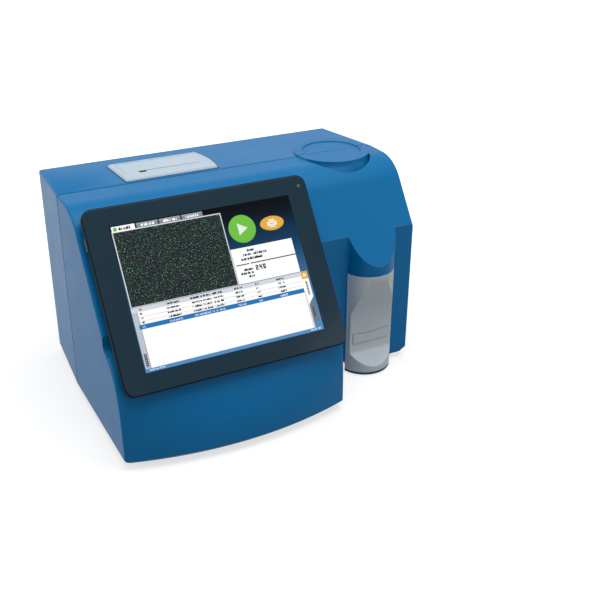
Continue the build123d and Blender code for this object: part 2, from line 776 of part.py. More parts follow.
def column_cover():
    """Grey column cover: a half round shell with a flat facet and the drawer's opening."""
    top = COLUMN_TOP_Z - COLUMN_GAP
    shell = post(column_x, COLUMN_Y, COLUMN_FOOT_Z, top, COLUMN_RADIUS) - facet_room(0)
    room = post(column_x, COLUMN_Y, COLUMN_FOOT_Z - OVERRUN, top + OVERRUN, COLUMN_RADIUS - COLUMN_WALL)
    shell -= room - facet_room(COLUMN_WALL)
    shell -= block(0, full_width, 0, REAR_Y, -TOP_Z, TOP_Z)
    shell -= along(drawer_face(DRAWER_CLEAR), FACET_Y - OVERRUN, 0)
    left = column_x - WINDOW_HALF + TAB_CLEAR
    right = column_x + WINDOW_HALF - TAB_CLEAR
    low = WINDOW_LOW_Z + TAB_CLEAR
    high = WINDOW_HIGH_Z - TAB_CLEAR
    for x in (left, right - TAB_THICK):
        shell += block(x, x + TAB_THICK, -TAB_LENGTH, TAB_LENGTH, low, high)
    reach = COLUMN_RADIUS - COLUMN_WALL / 2
    for x0, x1 in ((column_x - reach, left + TAB_THICK), (right - TAB_THICK, column_x + reach)):
        shell += block(x0, x1, -COLUMN_WALL, 0, low, high)
    return shell


def column_base():
    """Dark rim that closes the column underneath, with a tail screwed below the tower."""
    low = COLUMN_FOOT_Z - BASE_THICK
    rim = post(column_x, COLUMN_Y, low, COLUMN_FOOT_Z, COLUMN_RADIUS)
    spigot = COLUMN_RADIUS - COLUMN_WALL - TAB_CLEAR
    rim += post(column_x, COLUMN_Y, COLUMN_FOOT_Z, COLUMN_FOOT_Z + BASE_SPIGOT, spigot)
    rim -= block(0, full_width, 0, REAR_Y, -TOP_Z, TOP_Z)
    half = BASE_TAIL_WIDTH / 2
    return rim + block(column_x - half, column_x + half, -BASE_THICK, BASE_REACH, low, 0)


# Sample drawer and its drive


def chip_drawer():
    """Drawer with a waved front, a tray for the chip, a light hole and the drive's nut."""
    face_y = FACET_Y - DRAWER_PROUD
    drawer = along(drawer_face(0), face_y, face_y + DRAWER_FACE_THICK)
    top = tray_z + TRAY_THICK
    left = column_x - TRAY_WIDTH / 2
    right = column_x + TRAY_WIDTH / 2
    drawer += block(left, right, face_y + DRAWER_FACE_THICK / 2, TRAY_END_Y, tray_z, top)
    half = CHIP_WIDTH / 2 + CHIP_CLEAR
    reach = CHIP_LENGTH / 2 + CHIP_CLEAR
    sunk = top - CHIP_SINK
    drawer -= block(column_x - half, column_x + half, AXIS_Y - reach, AXIS_Y + reach, sunk, top + OVERRUN)
    drawer -= post(column_x, AXIS_Y, 0, top + OVERRUN, LIGHT_HOLE_RADIUS)
    nut_y = TRAY_END_Y - NUT_LENGTH
    nut_z = DRAWER_SCREW_Z - NUT_HALF
    nut_left = drawer_screw_x - NUT_HALF
    nut_right = drawer_screw_x + NUT_HALF
    drawer += block(nut_left, nut_right, nut_y, TRAY_END_Y, nut_z, top - TRAY_THICK / 2)
    return drawer - bar_y(drawer_screw_x, DRAWER_SCREW_Z, nut_y - OVERRUN, REAR_Y, SCREW_RADIUS + RUN_CLEAR)


def counting_chip():
    """Flat plastic chip with a round counting chamber and two filling ports."""
    base = tray_z + TRAY_THICK - CHIP_SINK
    half = CHIP_WIDTH / 2
    reach = CHIP_LENGTH / 2
    chip = block(column_x - half, column_x + half, AXIS_Y - reach, AXIS_Y + reach, base, base + CHIP_THICK)
    chip = chamfer(chip.edges().group_by(Axis.Z)[-1], CHIP_CLEAR)
    sunk = base + CHIP_THICK / 2
    chip -= post(column_x, AXIS_Y, sunk, base + OVERRUN, CHIP_CHAMBER_RADIUS)
    for side in (-1, 1):
        chip -= post(column_x, AXIS_Y + side * reach / 2, sunk, base + OVERRUN, CHIP_PORT_RADIUS)
    return chip


def drawer_rails():
    """Two grooved rails that carry the edges of the tray."""
    rails = []
    low = tray_z - RAIL_CLEAR
    high = tray_z + TRAY_THICK + RAIL_CLEAR
    for side in (-1, 1):
        inner = column_x + side * rail_x
        outer = inner + side * RAIL_WIDTH
        x0 = min(inner, outer)
        x1 = max(inner, outer)
        rail = block(x0, x1, FRAME_FRONT_Y, SPINE_FRONT_Y, frame_base_z, high + RAIL_RISE)
        groove = column_x + side * (TRAY_WIDTH / 2 + RAIL_CLEAR)
        g0 = min(groove, inner - side * OVERRUN)
        g1 = max(groove, inner - side * OVERRUN)
        rails.append(rail - block(g0, g1, FRAME_FRONT_Y - OVERRUN, SPINE_FRONT_Y + OVERRUN, low, high))
    return rails


def drawer_leadscrew():
    """Screw under the tray that drives the drawer."""
    front = FRAME_FRONT_Y + RUN_CLEAR
    return bar_y(drawer_screw_x, DRAWER_SCREW_Z, front, SPINE_FRONT_Y + SPINE_THICK, SCREW_RADIUS)


def motor(half, height):
    """Small square motor standing on its face, with cut corners."""
    corner = MOTOR_CORNER * half / MOTOR_HALF
    face = chamfer(Rectangle(2 * half, 2 * half).vertices(), corner)
    return extrude(face, height)


def drawer_motor():
    """Drawer motor on the back of the spine."""
    place = Pos(drawer_screw_x, SPINE_FRONT_Y + SPINE_THICK, DRAWER_SCREW_Z) * Rot(X=-90)
    return place * motor(DRAWER_MOTOR_HALF, DRAWER_MOTOR_LENGTH)


# Optics


def optics_frame():
    """Cast frame: base, upright spine with a window, two lugs and the drawer screw's bearing."""
    left = column_x - FRAME_HALF
    right = column_x + FRAME_HALF
    base = block(left, right, FRAME_FRONT_Y, SPINE_FRONT_Y, floor_z, frame_base_z)
    spine_y = SPINE_FRONT_Y + SPINE_THICK
    spine = block(column_x - SPINE_HALF, column_x + SPINE_HALF, SPINE_FRONT_Y, spine_y, floor_z, spine_top_z)
    window = block(
        column_x - SPINE_WINDOW_HALF,
        column_x + SPINE_WINDOW_HALF,
        SPINE_FRONT_Y - OVERRUN / 5,
        spine_y + OVERRUN,
        SPINE_WINDOW_LOW_Z,
        SPINE_WINDOW_HIGH_Z,
    )
    frame = base + spine - window
    for low in (LUG_LOW_Z, LUG_HIGH_Z):
        lug = block(column_x - SPINE_HALF, column_x + SPINE_HALF, LUG_FRONT_Y, spine_y, low, low + LUG_THICK)
        frame += lug
    for side in (-1, 1):
        frame -= post(column_x + side * ROD_SPREAD, ROD_Y, LUG_LOW_Z, spine_top_z + OVERRUN, ROD_RADIUS)
    screw_z = LUG_LOW_Z + LUG_THICK / 2
    frame -= post(column_x, ROD_Y, screw_z, spine_top_z + OVERRUN, SCREW_RADIUS + RUN_CLEAR)
    bearing_y = FRAME_FRONT_Y + BEARING_THICK
    frame += block(
        drawer_screw_x - NUT_HALF,
        drawer_screw_x + NUT_HALF,
        FRAME_FRONT_Y,
        bearing_y,
        frame_base_z,
        DRAWER_SCREW_Z + NUT_HALF,
    )
    return frame - bar_y(drawer_screw_x, DRAWER_SCREW_Z, FRAME_FRONT_Y, REAR_Y, SCREW_RADIUS + RUN_CLEAR)


def lamp_housing():
    """Finned lamp below the chip."""
    lamp = post(column_x, AXIS_Y, frame_base_z, LAMP_TOP_Z, LAMP_RADIUS)
    lamp += post(column_x, AXIS_Y, frame_base_z, frame_base_z + LAMP_FLANGE, LAMP_FIN_RADIUS)
    z = frame_base_z + LAMP_FLANGE + FIN_PITCH
    while z + FIN_PITCH < LAMP_TOP_Z - LAMP_FLANGE:
        lamp += post(column_x, AXIS_Y, z, z + FIN_THICK, LAMP_FIN_RADIUS - FIN_THICK)
        z += FIN_PITCH
    return lamp


def lamp_filter():
    """Round colour filter on the lamp."""
    return post(column_x, AXIS_Y, LAMP_TOP_Z, LAMP_TOP_Z + FILTER_THICK, FILTER_RADIUS)


def objective():
    """Microscope objective: tip, cone, barrel and gripping ring."""
    profile = Polyline(
        (0, OBJECTIVE_TIP_Z),
        (OBJECTIVE_TIP_RADIUS, OBJECTIVE_TIP_Z),
        (OBJECTIVE_RADIUS, OBJECTIVE_CONE_Z),
        (OBJECTIVE_RADIUS, OBJECTIVE_TOP_Z - OBJECTIVE_GRIP_HEIGHT),
        (OBJECTIVE_GRIP_RADIUS, OBJECTIVE_TOP_Z - OBJECTIVE_GRIP_HEIGHT),
        (OBJECTIVE_GRIP_RADIUS, OBJECTIVE_TOP_Z),
        (0, OBJECTIVE_TOP_Z),
        close=True,
    )
    return Pos(column_x, AXIS_Y, 0) * revolve(Plane.XZ * make_face(profile), Axis.Z)


def camera_tube():
    """Tube between the objective and the camera, held by the carriage."""
    tube = post(column_x, AXIS_Y, OBJECTIVE_TOP_Z, TUBE_TOP_Z, TUBE_RADIUS)
    return tube - post(column_x, AXIS_Y, OBJECTIVE_TOP_Z - OVERRUN, TUBE_TOP_Z + OVERRUN, TUBE_BORE_RADIUS)


def camera_board():
    """Square camera board with its case, on the tube's upper end."""
    low = TUBE_TOP_Z
    high = low + CAMERA_CASE_HEIGHT
    case = upward(Rectangle(2 * CAMERA_CASE_HALF, 2 * CAMERA_CASE_HALF), low, high)
    board = upward(Rectangle(2 * CAMERA_HALF, 2 * CAMERA_HALF), high, high + CAMERA_THICK)
    return Pos(column_x, AXIS_Y, 0) * (case + board)


def focus_carriage():
    """Carriage on two guide rods, with a clamp round the camera tube."""
    high = CARRIAGE_LOW_Z + CARRIAGE_HEIGHT
    near = ROD_Y - CARRIAGE_THICK / 2
    far = ROD_Y + CARRIAGE_THICK / 2
    body = block(column_x - CARRIAGE_HALF, column_x + CARRIAGE_HALF, near, far, CARRIAGE_LOW_Z, high)
    body += post(column_x, AXIS_Y, CARRIAGE_LOW_Z, high, TUBE_RADIUS + CLAMP_WALL)
    body += block(column_x - TUBE_RADIUS, column_x + TUBE_RADIUS, AXIS_Y, ROD_Y, CARRIAGE_LOW_Z, high)
    body -= post(column_x, AXIS_Y, 0, TOP_Z, TUBE_RADIUS)
    for side in (-1, 1):
        body -= post(column_x + side * ROD_SPREAD, ROD_Y, 0, TOP_Z, ROD_RADIUS + RUN_CLEAR)
    return body - post(column_x, ROD_Y, 0, TOP_Z, SCREW_RADIUS + RUN_CLEAR)


def guide_rods():
    """Two ground rods between the frame's lugs."""
    top = LUG_HIGH_Z + LUG_THICK
    return [post(column_x + side * ROD_SPREAD, ROD_Y, LUG_LOW_Z, top, ROD_RADIUS) for side in (-1, 1)]


def focus_leadscrew():
    """Screw that lifts the carriage."""
    low = LUG_LOW_Z + LUG_THICK / 2 + RUN_CLEAR
    return post(column_x, ROD_Y, low, LUG_HIGH_Z + LUG_THICK - RUN_CLEAR, SCREW_RADIUS)


def focus_motor():
    """Focus motor on the upper lug."""
    return Pos(column_x, ROD_Y, LUG_HIGH_Z + LUG_THICK) * motor(MOTOR_HALF, MOTOR_HEIGHT)


# Tablet, in the slope's own plane


def tablet_slab(w0, w1, inset):
    """Rounded slab of the tablet's outline between two heights over the slope."""
    face = RectangleRounded(TABLET_WIDTH - 2 * inset, TABLET_LENGTH - 2 * inset, TABLET_CORNER - inset)
    return upward(Pos(tablet_mid_x, tablet_mid_v) * face, w0, w1)


def tablet_bracket():
    """Plate frame between the slope and the tablet."""
    span = BRACKET_HIGH_V - BRACKET_LOW_V
    mid_v = (BRACKET_HIGH_V + BRACKET_LOW_V) / 2
    face = RectangleRounded(2 * BRACKET_HALF, span, BRACKET_CORNER)
    face -= RectangleRounded(2 * (BRACKET_HALF - BRACKET_FRAME), span - 2 * BRACKET_FRAME, BRACKET_CORNER)
    return slope_plane * upward(Pos(tablet_mid_x, mid_v) * face, 0, TABLET_GAP)


def key_places():
    """Volume rocker on the left edge and power key on the upper edge: middle x, middle v, along-x flag."""
    rocker_v = TABLET_TOP_V - ROCKER_TOP - ROCKER_LENGTH / 2
    power_x = TABLET_LEFT_X + TABLET_WIDTH - POWER_RIGHT - POWER_LENGTH / 2
    return (TABLET_LEFT_X, rocker_v), (power_x, TABLET_TOP_V)


def key_body(clear, depth):
    """The two side keys, or their pockets, in the slope's plane."""
    (rocker_x, rocker_v), (power_x, power_v) = key_places()
    low = TABLET_GAP + TABLET_BELLY + KEY_HEIGHT / 4 - clear
    high = low + KEY_HEIGHT + 2 * clear
    half = ROCKER_LENGTH / 2 + clear
    rocker = block(rocker_x - KEY_PROUD, rocker_x + depth, rocker_v - half, rocker_v + half, low, high)
    half = POWER_LENGTH / 2 + clear
    power = block(power_x - half, power_x + half, power_v - depth, power_v + KEY_PROUD, low, high)
    return rocker, power


def tablet_back_shell():
    """Back shell with a rounded belly and pockets for the side keys."""
    body = tablet_slab(TABLET_GAP, trim_w, 0)
    body = chamfer(body.edges().group_by(Axis.Z)[0], TABLET_BELLY, TABLET_BELLY * 2)
    for pocket_room in key_body(KEY_CLEAR, KEY_DEPTH + KEY_TRAVEL + KEY_CLEAR):
        body -= pocket_room
    return slope_plane * body


def tablet_trim():
    """Bright trim line between the back shell and the glass."""
    return slope_plane * tablet_slab(trim_w, glass_w, -TRIM_PROUD)


def screen_slab(grown, w0, w1):
    """Upright-edged slab of the active screen's outline."""
    face = Rectangle(screen_width + 2 * grown, screen_height + 2 * grown)
    return upward(Pos(screen_mid_x, screen_mid_v) * face, w0, w1)


def lens_post(grown, w0, w1):
    """Round of the front camera's lens."""
    x = TABLET_LEFT_X + TABLET_WIDTH - LENS_RIGHT
    return post(x, TABLET_TOP_V - LENS_TOP, w0, w1, LENS_RADIUS + grown)


def tablet_glass():
    """Dark front with softened edges, open for the display and the lens."""
    top = glass_w + GLASS_THICK
    body = tablet_slab(glass_w, top, GLASS_INSET)
    body = chamfer(body.edges().group_by(Axis.Z)[-1], GLASS_EDGE)
    body -= screen_slab(SCREEN_GAP, glass_w - OVERRUN, top + OVERRUN)
    return slope_plane * (body - lens_post(SCREEN_GAP, glass_w - OVERRUN, top + OVERRUN))


def tablet_display():
    """Display, level with the front."""
    return slope_plane * screen_slab(0, glass_w, glass_w + GLASS_THICK)


def tablet_camera_lens():
    """Front camera's lens."""
    return slope_plane * lens_post(0, glass_w, glass_w + GLASS_THICK)


def tablet_keys():
    """Volume rocker and power key, with softened outer edges."""
    rocker, power = key_body(0, KEY_DEPTH)
    rocker = chamfer(rocker.edges().group_by(Axis.X)[0], KEY_CLEAR)
    power = chamfer(power.edges().group_by(Axis.Y)[-1], KEY_CLEAR)
    return slope_plane * rocker, slope_plane * power


def bracket_screws():
    """Countersunk-look screws that hold the bracket, seen only from behind."""
    heads = []
    reach = BRACKET_HALF - BRACKET_FRAME / 2
    for x in (tablet_mid_x - reach, tablet_mid_x + reach):
        for v in (BRACKET_LOW_V + BRACKET_FRAME / 2, BRACKET_HIGH_V - BRACKET_FRAME / 2):
            heads.append(slope_plane * post(x, v, -WALL - BRACKET_SCREW_HEAD, -WALL, BRACKET_SCREW_RADIUS))
    return heads


# Printer, in the drafted top's own plane


def bezel_face():
    """Plan of the printer's panel, with a bulged right end."""
    mid_v = (BEZEL_FRONT_V + BEZEL_REAR_V) / 2
    front_right = (BEZEL_RIGHT_X - BEZEL_BULGE, BEZEL_FRONT_V)
    rear_right = (BEZEL_RIGHT_X - BEZEL_BULGE, BEZEL_REAR_V)
    path = Polyline(rear_right, (BEZEL_LEFT_X, BEZEL_REAR_V), (BEZEL_LEFT_X, BEZEL_FRONT_V), front_right)
    path += ThreePointArc(front_right, (BEZEL_RIGHT_X, mid_v), rear_right)
    face = make_face(path)
    return fillet(face.vertices(), BEZEL_CORNER)


def printer_bezel():
    """Panel with bevelled edges, a skirt through the housing and the paper slit's front edge."""
    panel = upward(bezel_face(), 0, BEZEL_THICK)
    panel = chamfer(panel.edges().group_by(Axis.Z)[-1], BEZEL_BEVEL)
    left = BEZEL_LEFT_X + SKIRT_INSET
    right = BEZEL_RIGHT_X - SKIRT_INSET
    back = BEZEL_REAR_V - SKIRT_INSET / 2
    panel += block(left, right, BEZEL_FRONT_V + SKIRT_INSET, back, -SKIRT_DEPTH, 0)
    lid_front = LID_FRONT_V - LID_GAP
    lid_back = LID_REAR_V + LID_GAP
    panel -= block(lid_left_x - LID_GAP, lid_right_x + LID_GAP, lid_front, lid_back, -OVERRUN, OVERRUN)
    under = BEZEL_FRONT_V + SKIRT_INSET + EAR_WALL
    panel -= block(lid_left_x - LID_GAP, lid_right_x + LID_GAP, under, LID_FRONT_V, -OVERRUN, 0)
    slit_front = LID_FRONT_V - SLIT_WIDTH
    panel -= block(SLIT_LEFT_X, SLIT_RIGHT_X, slit_front, LID_FRONT_V, -OVERRUN / 2, OVERRUN)
    panel -= latch_block(LATCH_CLEAR, -OVERRUN, OVERRUN)
    for x in (lid_left_x - HINGE_PIN_REACH, lid_right_x):
        panel -= bar_x(hinge_v, hinge_w, x, x + HINGE_PIN_REACH, HINGE_PIN_RADIUS)
    return top_plane * panel


def latch_block(grown, w0, w1):
    """Upright block of the latch button's outline."""
    right = LATCH_LEFT_X + LATCH_LENGTH + grown
    back = LATCH_FRONT_V + LATCH_WIDTH + grown
    return block(LATCH_LEFT_X - grown, right, LATCH_FRONT_V - grown, back, w0, w1)


def printer_latch_button():
    """Small black latch button in the panel, with a flange that keeps it in."""
    button = latch_block(0, -LATCH_STEM, BEZEL_THICK - LATCH_SINK)
    return top_plane * (button + latch_block(LATCH_FLANGE / 2, -LATCH_STEM, -LATCH_CLEAR))


def ear_places():
    """Left sides of the two ears that carry the platen."""
    left = slit_mid_x - PLATEN_LENGTH / 2 - EAR_GAP - EAR_THICK
    return left, slit_mid_x + PLATEN_LENGTH / 2 + EAR_GAP


def printer_lid():
    """Paper lid: plate, rounded hinge edge, hinge pins and the platen's ears."""
    low = BEZEL_THICK - LID_THICK
    lid = block(lid_left_x, lid_right_x, LID_FRONT_V, hinge_v, low, BEZEL_THICK)
    lid += bar_x(hinge_v, hinge_w, lid_left_x, lid_right_x, HINGE_RADIUS)
    pin = HINGE_PIN_REACH - RUN_CLEAR
    lid += bar_x(hinge_v, hinge_w, lid_left_x - pin, lid_right_x + pin, HINGE_PIN_RADIUS - RUN_CLEAR)
    ear_radius = PLATEN_AXLE_RADIUS + EAR_WALL
    front = PLATEN_V - ear_radius
    back = PLATEN_V + ear_radius
    for x in ear_places():
        far = x + EAR_THICK
        lid += bar_x(PLATEN_V, PLATEN_W, x, far, ear_radius)
        lid += block(x, far, front, back, PLATEN_W, low + LID_THICK / 2)
        lid -= bar_x(PLATEN_V, PLATEN_W, x - OVERRUN, far + OVERRUN, PLATEN_AXLE_RADIUS + RUN_CLEAR)
    return top_plane * lid


def platen_roller():
    """Rubber platen on its axle."""
    left = slit_mid_x - PLATEN_LENGTH / 2
    right = slit_mid_x + PLATEN_LENGTH / 2
    roller = bar_x(PLATEN_V, PLATEN_W, left, right, PLATEN_RADIUS)
    reach = EAR_GAP + EAR_THICK
    return top_plane * (roller + bar_x(PLATEN_V, PLATEN_W, left - reach, right + reach, PLATEN_AXLE_RADIUS))


def print_head():
    """Thermal print head in front of the platen, on the bucket's front wall."""
    left = slit_mid_x - PLATEN_LENGTH / 2
    right = slit_mid_x + PLATEN_LENGTH / 2
    body = block(left, right, HEAD_FRONT_V, HEAD_FACE_V, HEAD_TOP_W - HEAD_HEIGHT, HEAD_TOP_W)
    wall_v = BEZEL_FRONT_V + SKIRT_INSET + EAR_WALL
    body += block(left, right, wall_v, HEAD_FRONT_V, HEAD_TOP_W - HEAD_HEIGHT, HEAD_TOP_W - HEAD_HEIGHT / 2)
    return top_plane * body


def paper_bucket():
    """Open bucket below the panel, with a round bed for the paper roll."""
    left = BEZEL_LEFT_X + SKIRT_INSET
    right = BEZEL_RIGHT_X - SKIRT_INSET
    front = BEZEL_FRONT_V + SKIRT_INSET
    back = BEZEL_REAR_V - SKIRT_INSET / 2
    top = -SKIRT_DEPTH
    bucket = block(left, right, front, back, -BUCKET_DEPTH, top)
    room = block(
        left + BUCKET_WALL,
        right - BUCKET_WALL,
        front + BUCKET_WALL,
        back - BUCKET_WALL,
        -BUCKET_DEPTH + BUCKET_WALL,
        top + OVERRUN,
    )
    half = PLATEN_LENGTH / 2 + ROLL_CLEAR
    reach = half + EAR_THICK
    bed = block(slit_mid_x - reach, slit_mid_x + reach, front, back, -BUCKET_DEPTH, ROLL_W)
    bed -= bar_x(ROLL_V, ROLL_W, slit_mid_x - half, slit_mid_x + half, ROLL_PAPER_RADIUS + ROLL_CLEAR)
    return top_plane * (bucket - room + bed)


def paper_roll():
    """Roll of thermal paper with its core's hole."""
    half = PLATEN_LENGTH / 2
    roll = bar_x(ROLL_V, ROLL_W, slit_mid_x - half, slit_mid_x + half, ROLL_PAPER_RADIUS)
    reach = half + OVERRUN
    core = bar_x(ROLL_V, ROLL_W, slit_mid_x - reach, slit_mid_x + reach, ROLL_CORE_RADIUS)
    return top_plane * (roll - core)


# Rear wall


def usb_places():
    """Middles of the two serial-bus sockets."""
    return USB_X, USB_X + USB_PITCH


def power_inlet():
    """Mains inlet: flange, body, mouth with cut corners and three blades."""
    body = wall_block(INLET_X, INLET_Z, INLET_WIDTH, INLET_HEIGHT, inner_rear_y - INLET_DEPTH, inner_rear_y)
    wide = INLET_WIDTH + 2 * INLET_FLANGE
    face = RectangleRounded(wide, INLET_HEIGHT + 2 * INLET_FLANGE, INLET_FLANGE_THICK)
    body += along(Pos(INLET_X, INLET_Z) * face, inner_rear_y, inner_rear_y + INLET_FLANGE_THICK)
    left = INLET_X - INLET_MOUTH_WIDTH / 2
    right = INLET_X + INLET_MOUTH_WIDTH / 2
    low = INLET_Z - INLET_MOUTH_HEIGHT / 2
    high = INLET_Z + INLET_MOUTH_HEIGHT / 2
    cut = INLET_MOUTH_CORNER
    points = [
        (left, low),
        (right, low),
        (right, high - cut),
        (right - cut, high),
        (left + cut, high),
        (left, high - cut),
    ]
    mouth = make_face(Polyline(*points, close=True))
    mouth_y = inner_rear_y + INLET_FLANGE_THICK - INLET_MOUTH_DEPTH
    body -= along(mouth, mouth_y, inner_rear_y + OVERRUN)
    places = (
        (INLET_X - BLADE_SPREAD, INLET_Z - BLADE_DROP),
        (INLET_X, INLET_Z + EARTH_RISE),
        (INLET_X + BLADE_SPREAD, INLET_Z - BLADE_DROP),
    )
    for x, z in places:
        body += wall_block(x, z, BLADE_THICK, BLADE_WIDTH, mouth_y - BLADE_THICK, mouth_y + BLADE_LENGTH)
    return body


def wall_block(x, z, width, height, y0, y1):
    """Block round a point of the rear wall."""
    return block(x - width / 2, x + width / 2, y0, y1, z - height / 2, z + height / 2)


def rocker_frame():
    """Frame of the mains switch, with two pivot holes."""
    back = inner_rear_y - SWITCH_DEPTH
    frame = wall_block(SWITCH_X, INLET_Z, SWITCH_WIDTH, SWITCH_HEIGHT, back, inner_rear_y)
    wide = SWITCH_WIDTH + 2 * SWITCH_FLANGE
    tall = SWITCH_HEIGHT + 2 * SWITCH_FLANGE
    frame += wall_block(SWITCH_X, INLET_Z, wide, tall, inner_rear_y, inner_rear_y + SWITCH_FLANGE)
    inner = SWITCH_WIDTH - 2 * SWITCH_WALL
    height = SWITCH_HEIGHT - 2 * SWITCH_WALL
    frame -= wall_block(SWITCH_X, INLET_Z, inner, height, back + SWITCH_WALL, inner_rear_y + OVERRUN)
    reach = inner / 2 + SWITCH_WALL / 2
    y = inner_rear_y - SWITCH_PIVOT_DEPTH
    return frame - bar_x(y, INLET_Z, SWITCH_X - reach, SWITCH_X + reach, SWITCH_PIVOT_RADIUS + RUN_CLEAR)


def rocker_switch():
    """Rocker of the mains switch, tipped on a cross pin. Its two faces meet at a shallow angle."""
    y = inner_rear_y - SWITCH_PIVOT_DEPTH
    reach = SWITCH_HEIGHT / 2 - SWITCH_WALL - SWITCH_CLEAR
    rise = tan(radians(SWITCH_TILT)) * reach
    front = SWITCH_PIVOT_DEPTH + SWITCH_FLANGE
    points = [
        (front, 0),
        (front + rise, reach),
        (-SWITCH_PIVOT_DEPTH / 2, reach - SWITCH_CLEAR),
        (-SWITCH_PIVOT_DEPTH, 0),
        (-SWITCH_PIVOT_DEPTH / 2, SWITCH_CLEAR - reach),
        (front + rise, -reach),
    ]
    half = SWITCH_WIDTH / 2 - SWITCH_WALL - SWITCH_CLEAR / 2
    body = across(make_face(Polyline(*points, close=True)), -half, half)
    pin = half + SWITCH_CLEAR / 2 + SWITCH_WALL / 2 - RUN_CLEAR
    body += bar_x(0, 0, -pin, pin, SWITCH_PIVOT_RADIUS)
    return Pos(SWITCH_X, y, INLET_Z) * Rot(X=SWITCH_TILT) * body


def lan_socket():
    """Network socket with its stepped mouth."""
    y1 = inner_rear_y + SOCKET_PROUD
    body = wall_block(LAN_X, SOCKET_Z, LAN_WIDTH, LAN_HEIGHT, y1 - LAN_DEPTH, y1)
    deep = y1 - LAN_MOUTH_DEPTH
    body -= wall_block(LAN_X, SOCKET_Z, LAN_MOUTH_WIDTH, LAN_MOUTH_HEIGHT, deep, y1 + OVERRUN)
    low = SOCKET_Z - LAN_MOUTH_HEIGHT / 2
    step = LAN_STEP_WIDTH / 2
    return body - block(LAN_X - step, LAN_X + step, deep, y1 + OVERRUN, low - LAN_STEP_DEPTH, SOCKET_Z)


def usb_sockets():
    """Two serial-bus sockets: a thin shell round a tongue."""
    y1 = inner_rear_y + SOCKET_PROUD
    sockets = []
    for x in usb_places():
        body = wall_block(x, SOCKET_Z, USB_WIDTH, USB_HEIGHT, y1 - USB_DEPTH, y1)
        wide = USB_WIDTH - 2 * USB_SHELL
        tall = USB_HEIGHT - 2 * USB_SHELL
        body -= wall_block(x, SOCKET_Z, wide, tall, y1 - USB_MOUTH_DEPTH, y1 + OVERRUN)
        tongue_z = SOCKET_Z + USB_TONGUE / 2
        tongue_y = y1 - SOCKET_PROUD - USB_SHELL
        body += wall_block(x, tongue_z, wide - 2 * USB_SHELL, USB_TONGUE, y1 - USB_DEPTH, tongue_y)
        sockets.append(body)
    return sockets


def fan_frame():
    """Square fan frame with a round bore, four spokes and the rotor's axle."""
    front = inner_rear_y - FAN_DEPTH
    face = Pos(FAN_X, FAN_Z) * RectangleRounded(FAN_SIZE, FAN_SIZE, FAN_CORNER)
    frame = along(face, front, inner_rear_y)
    frame -= bar_y(FAN_X, FAN_Z, front - OVERRUN, inner_rear_y + OVERRUN, FAN_BORE_RADIUS)
    spoke = 2 * FAN_BORE_RADIUS + FAN_TIP_GAP
    frame += wall_block(FAN_X, FAN_Z, spoke, FAN_SPOKE, front, front + FAN_SPOKE_THICK)
    frame += wall_block(FAN_X, FAN_Z, FAN_SPOKE, spoke, front, front + FAN_SPOKE_THICK)
    frame += bar_y(FAN_X, FAN_Z, front, front + FAN_SPOKE_THICK, FAN_HUB_RADIUS)
    frame += bar_y(FAN_X, FAN_Z, front, inner_rear_y - FAN_SPOKE_THICK, FAN_AXLE_RADIUS)
    for x, z in fan_screw_places():
        frame -= bar_y(x, z, front - OVERRUN, inner_rear_y, FAN_AXLE_RADIUS)
    return frame


def fan_screw_places():
    """Middles of the fan's screws."""
    half = FAN_SCREW_PITCH / 2
    return [(FAN_X + sx * half, FAN_Z + sz * half) for sx in (-1, 1) for sz in (-1, 1)]


def fan_rotor():
    """Hub with twisted blades, turning on the frame's axle."""
    front = inner_rear_y - FAN_DEPTH + FAN_SPOKE_THICK + FAN_TIP_GAP
    back = inner_rear_y - FAN_TIP_GAP
    rotor = bar_y(FAN_X, FAN_Z, front, back, FAN_HUB_RADIUS)
    reach = FAN_BORE_RADIUS - FAN_TIP_GAP
    chord = (back - front) / cos(radians(FAN_BLADE_PITCH)) - 2 * FAN_BLADE_THICK
    mid_y = (front + back) / 2
    disc = bar_y(FAN_X, FAN_Z, front, back, reach)
    for index in range(FAN_BLADES):
        blade = Box(FAN_BLADE_THICK, chord, reach, align=(Align.CENTER, Align.CENTER, Align.MIN))
        turn = Rot(Y=index * 360 / FAN_BLADES) * Rot(Z=FAN_BLADE_PITCH)
        rotor += disc & (Pos(FAN_X, mid_y, FAN_Z) * turn * blade)
    bore_end = back - FAN_SPOKE_THICK + FAN_TIP_GAP
    return rotor - bar_y(FAN_X, FAN_Z, front - OVERRUN, bore_end, FAN_AXLE_RADIUS + RUN_CLEAR)


def fan_guard():
    """Finger guard outside the rear wall: rings on crossed spokes, with four screw ears."""
    y1 = REAR_Y + GUARD_THICK
    guard = bar_y(FAN_X, FAN_Z, REAR_Y, y1, GUARD_HUB_RADIUS)
    radius = GUARD_RADIUS
    while radius > GUARD_HUB_RADIUS + GUARD_RING:
        ring = bar_y(FAN_X, FAN_Z, REAR_Y, y1, radius)
        guard += ring - bar_y(FAN_X, FAN_Z, REAR_Y - OVERRUN, y1 + OVERRUN, radius - GUARD_RING)
        radius -= GUARD_PITCH
    reach = FAN_SCREW_PITCH * sqrt(2)
    for turn in GUARD_SPOKE_DEGREES:
        spoke = Box(reach, GUARD_THICK, GUARD_SPOKE, align=(Align.CENTER, Align.MIN, Align.CENTER))
        guard += Pos(FAN_X, REAR_Y, FAN_Z) * Rot(Y=turn) * spoke
    for x, z in fan_screw_places():
        guard += bar_y(x, z, REAR_Y, y1, GUARD_EAR_RADIUS)
    return guard


def guard_screws():
    """Pan heads of the four screws that hold the guard and the fan."""
    y0 = REAR_Y + GUARD_THICK
    return [bar_y(x, z, y0, y0 + PAN_HEAD_HEIGHT, PAN_HEAD_RADIUS) for x, z in fan_screw_places()]


# Electronics


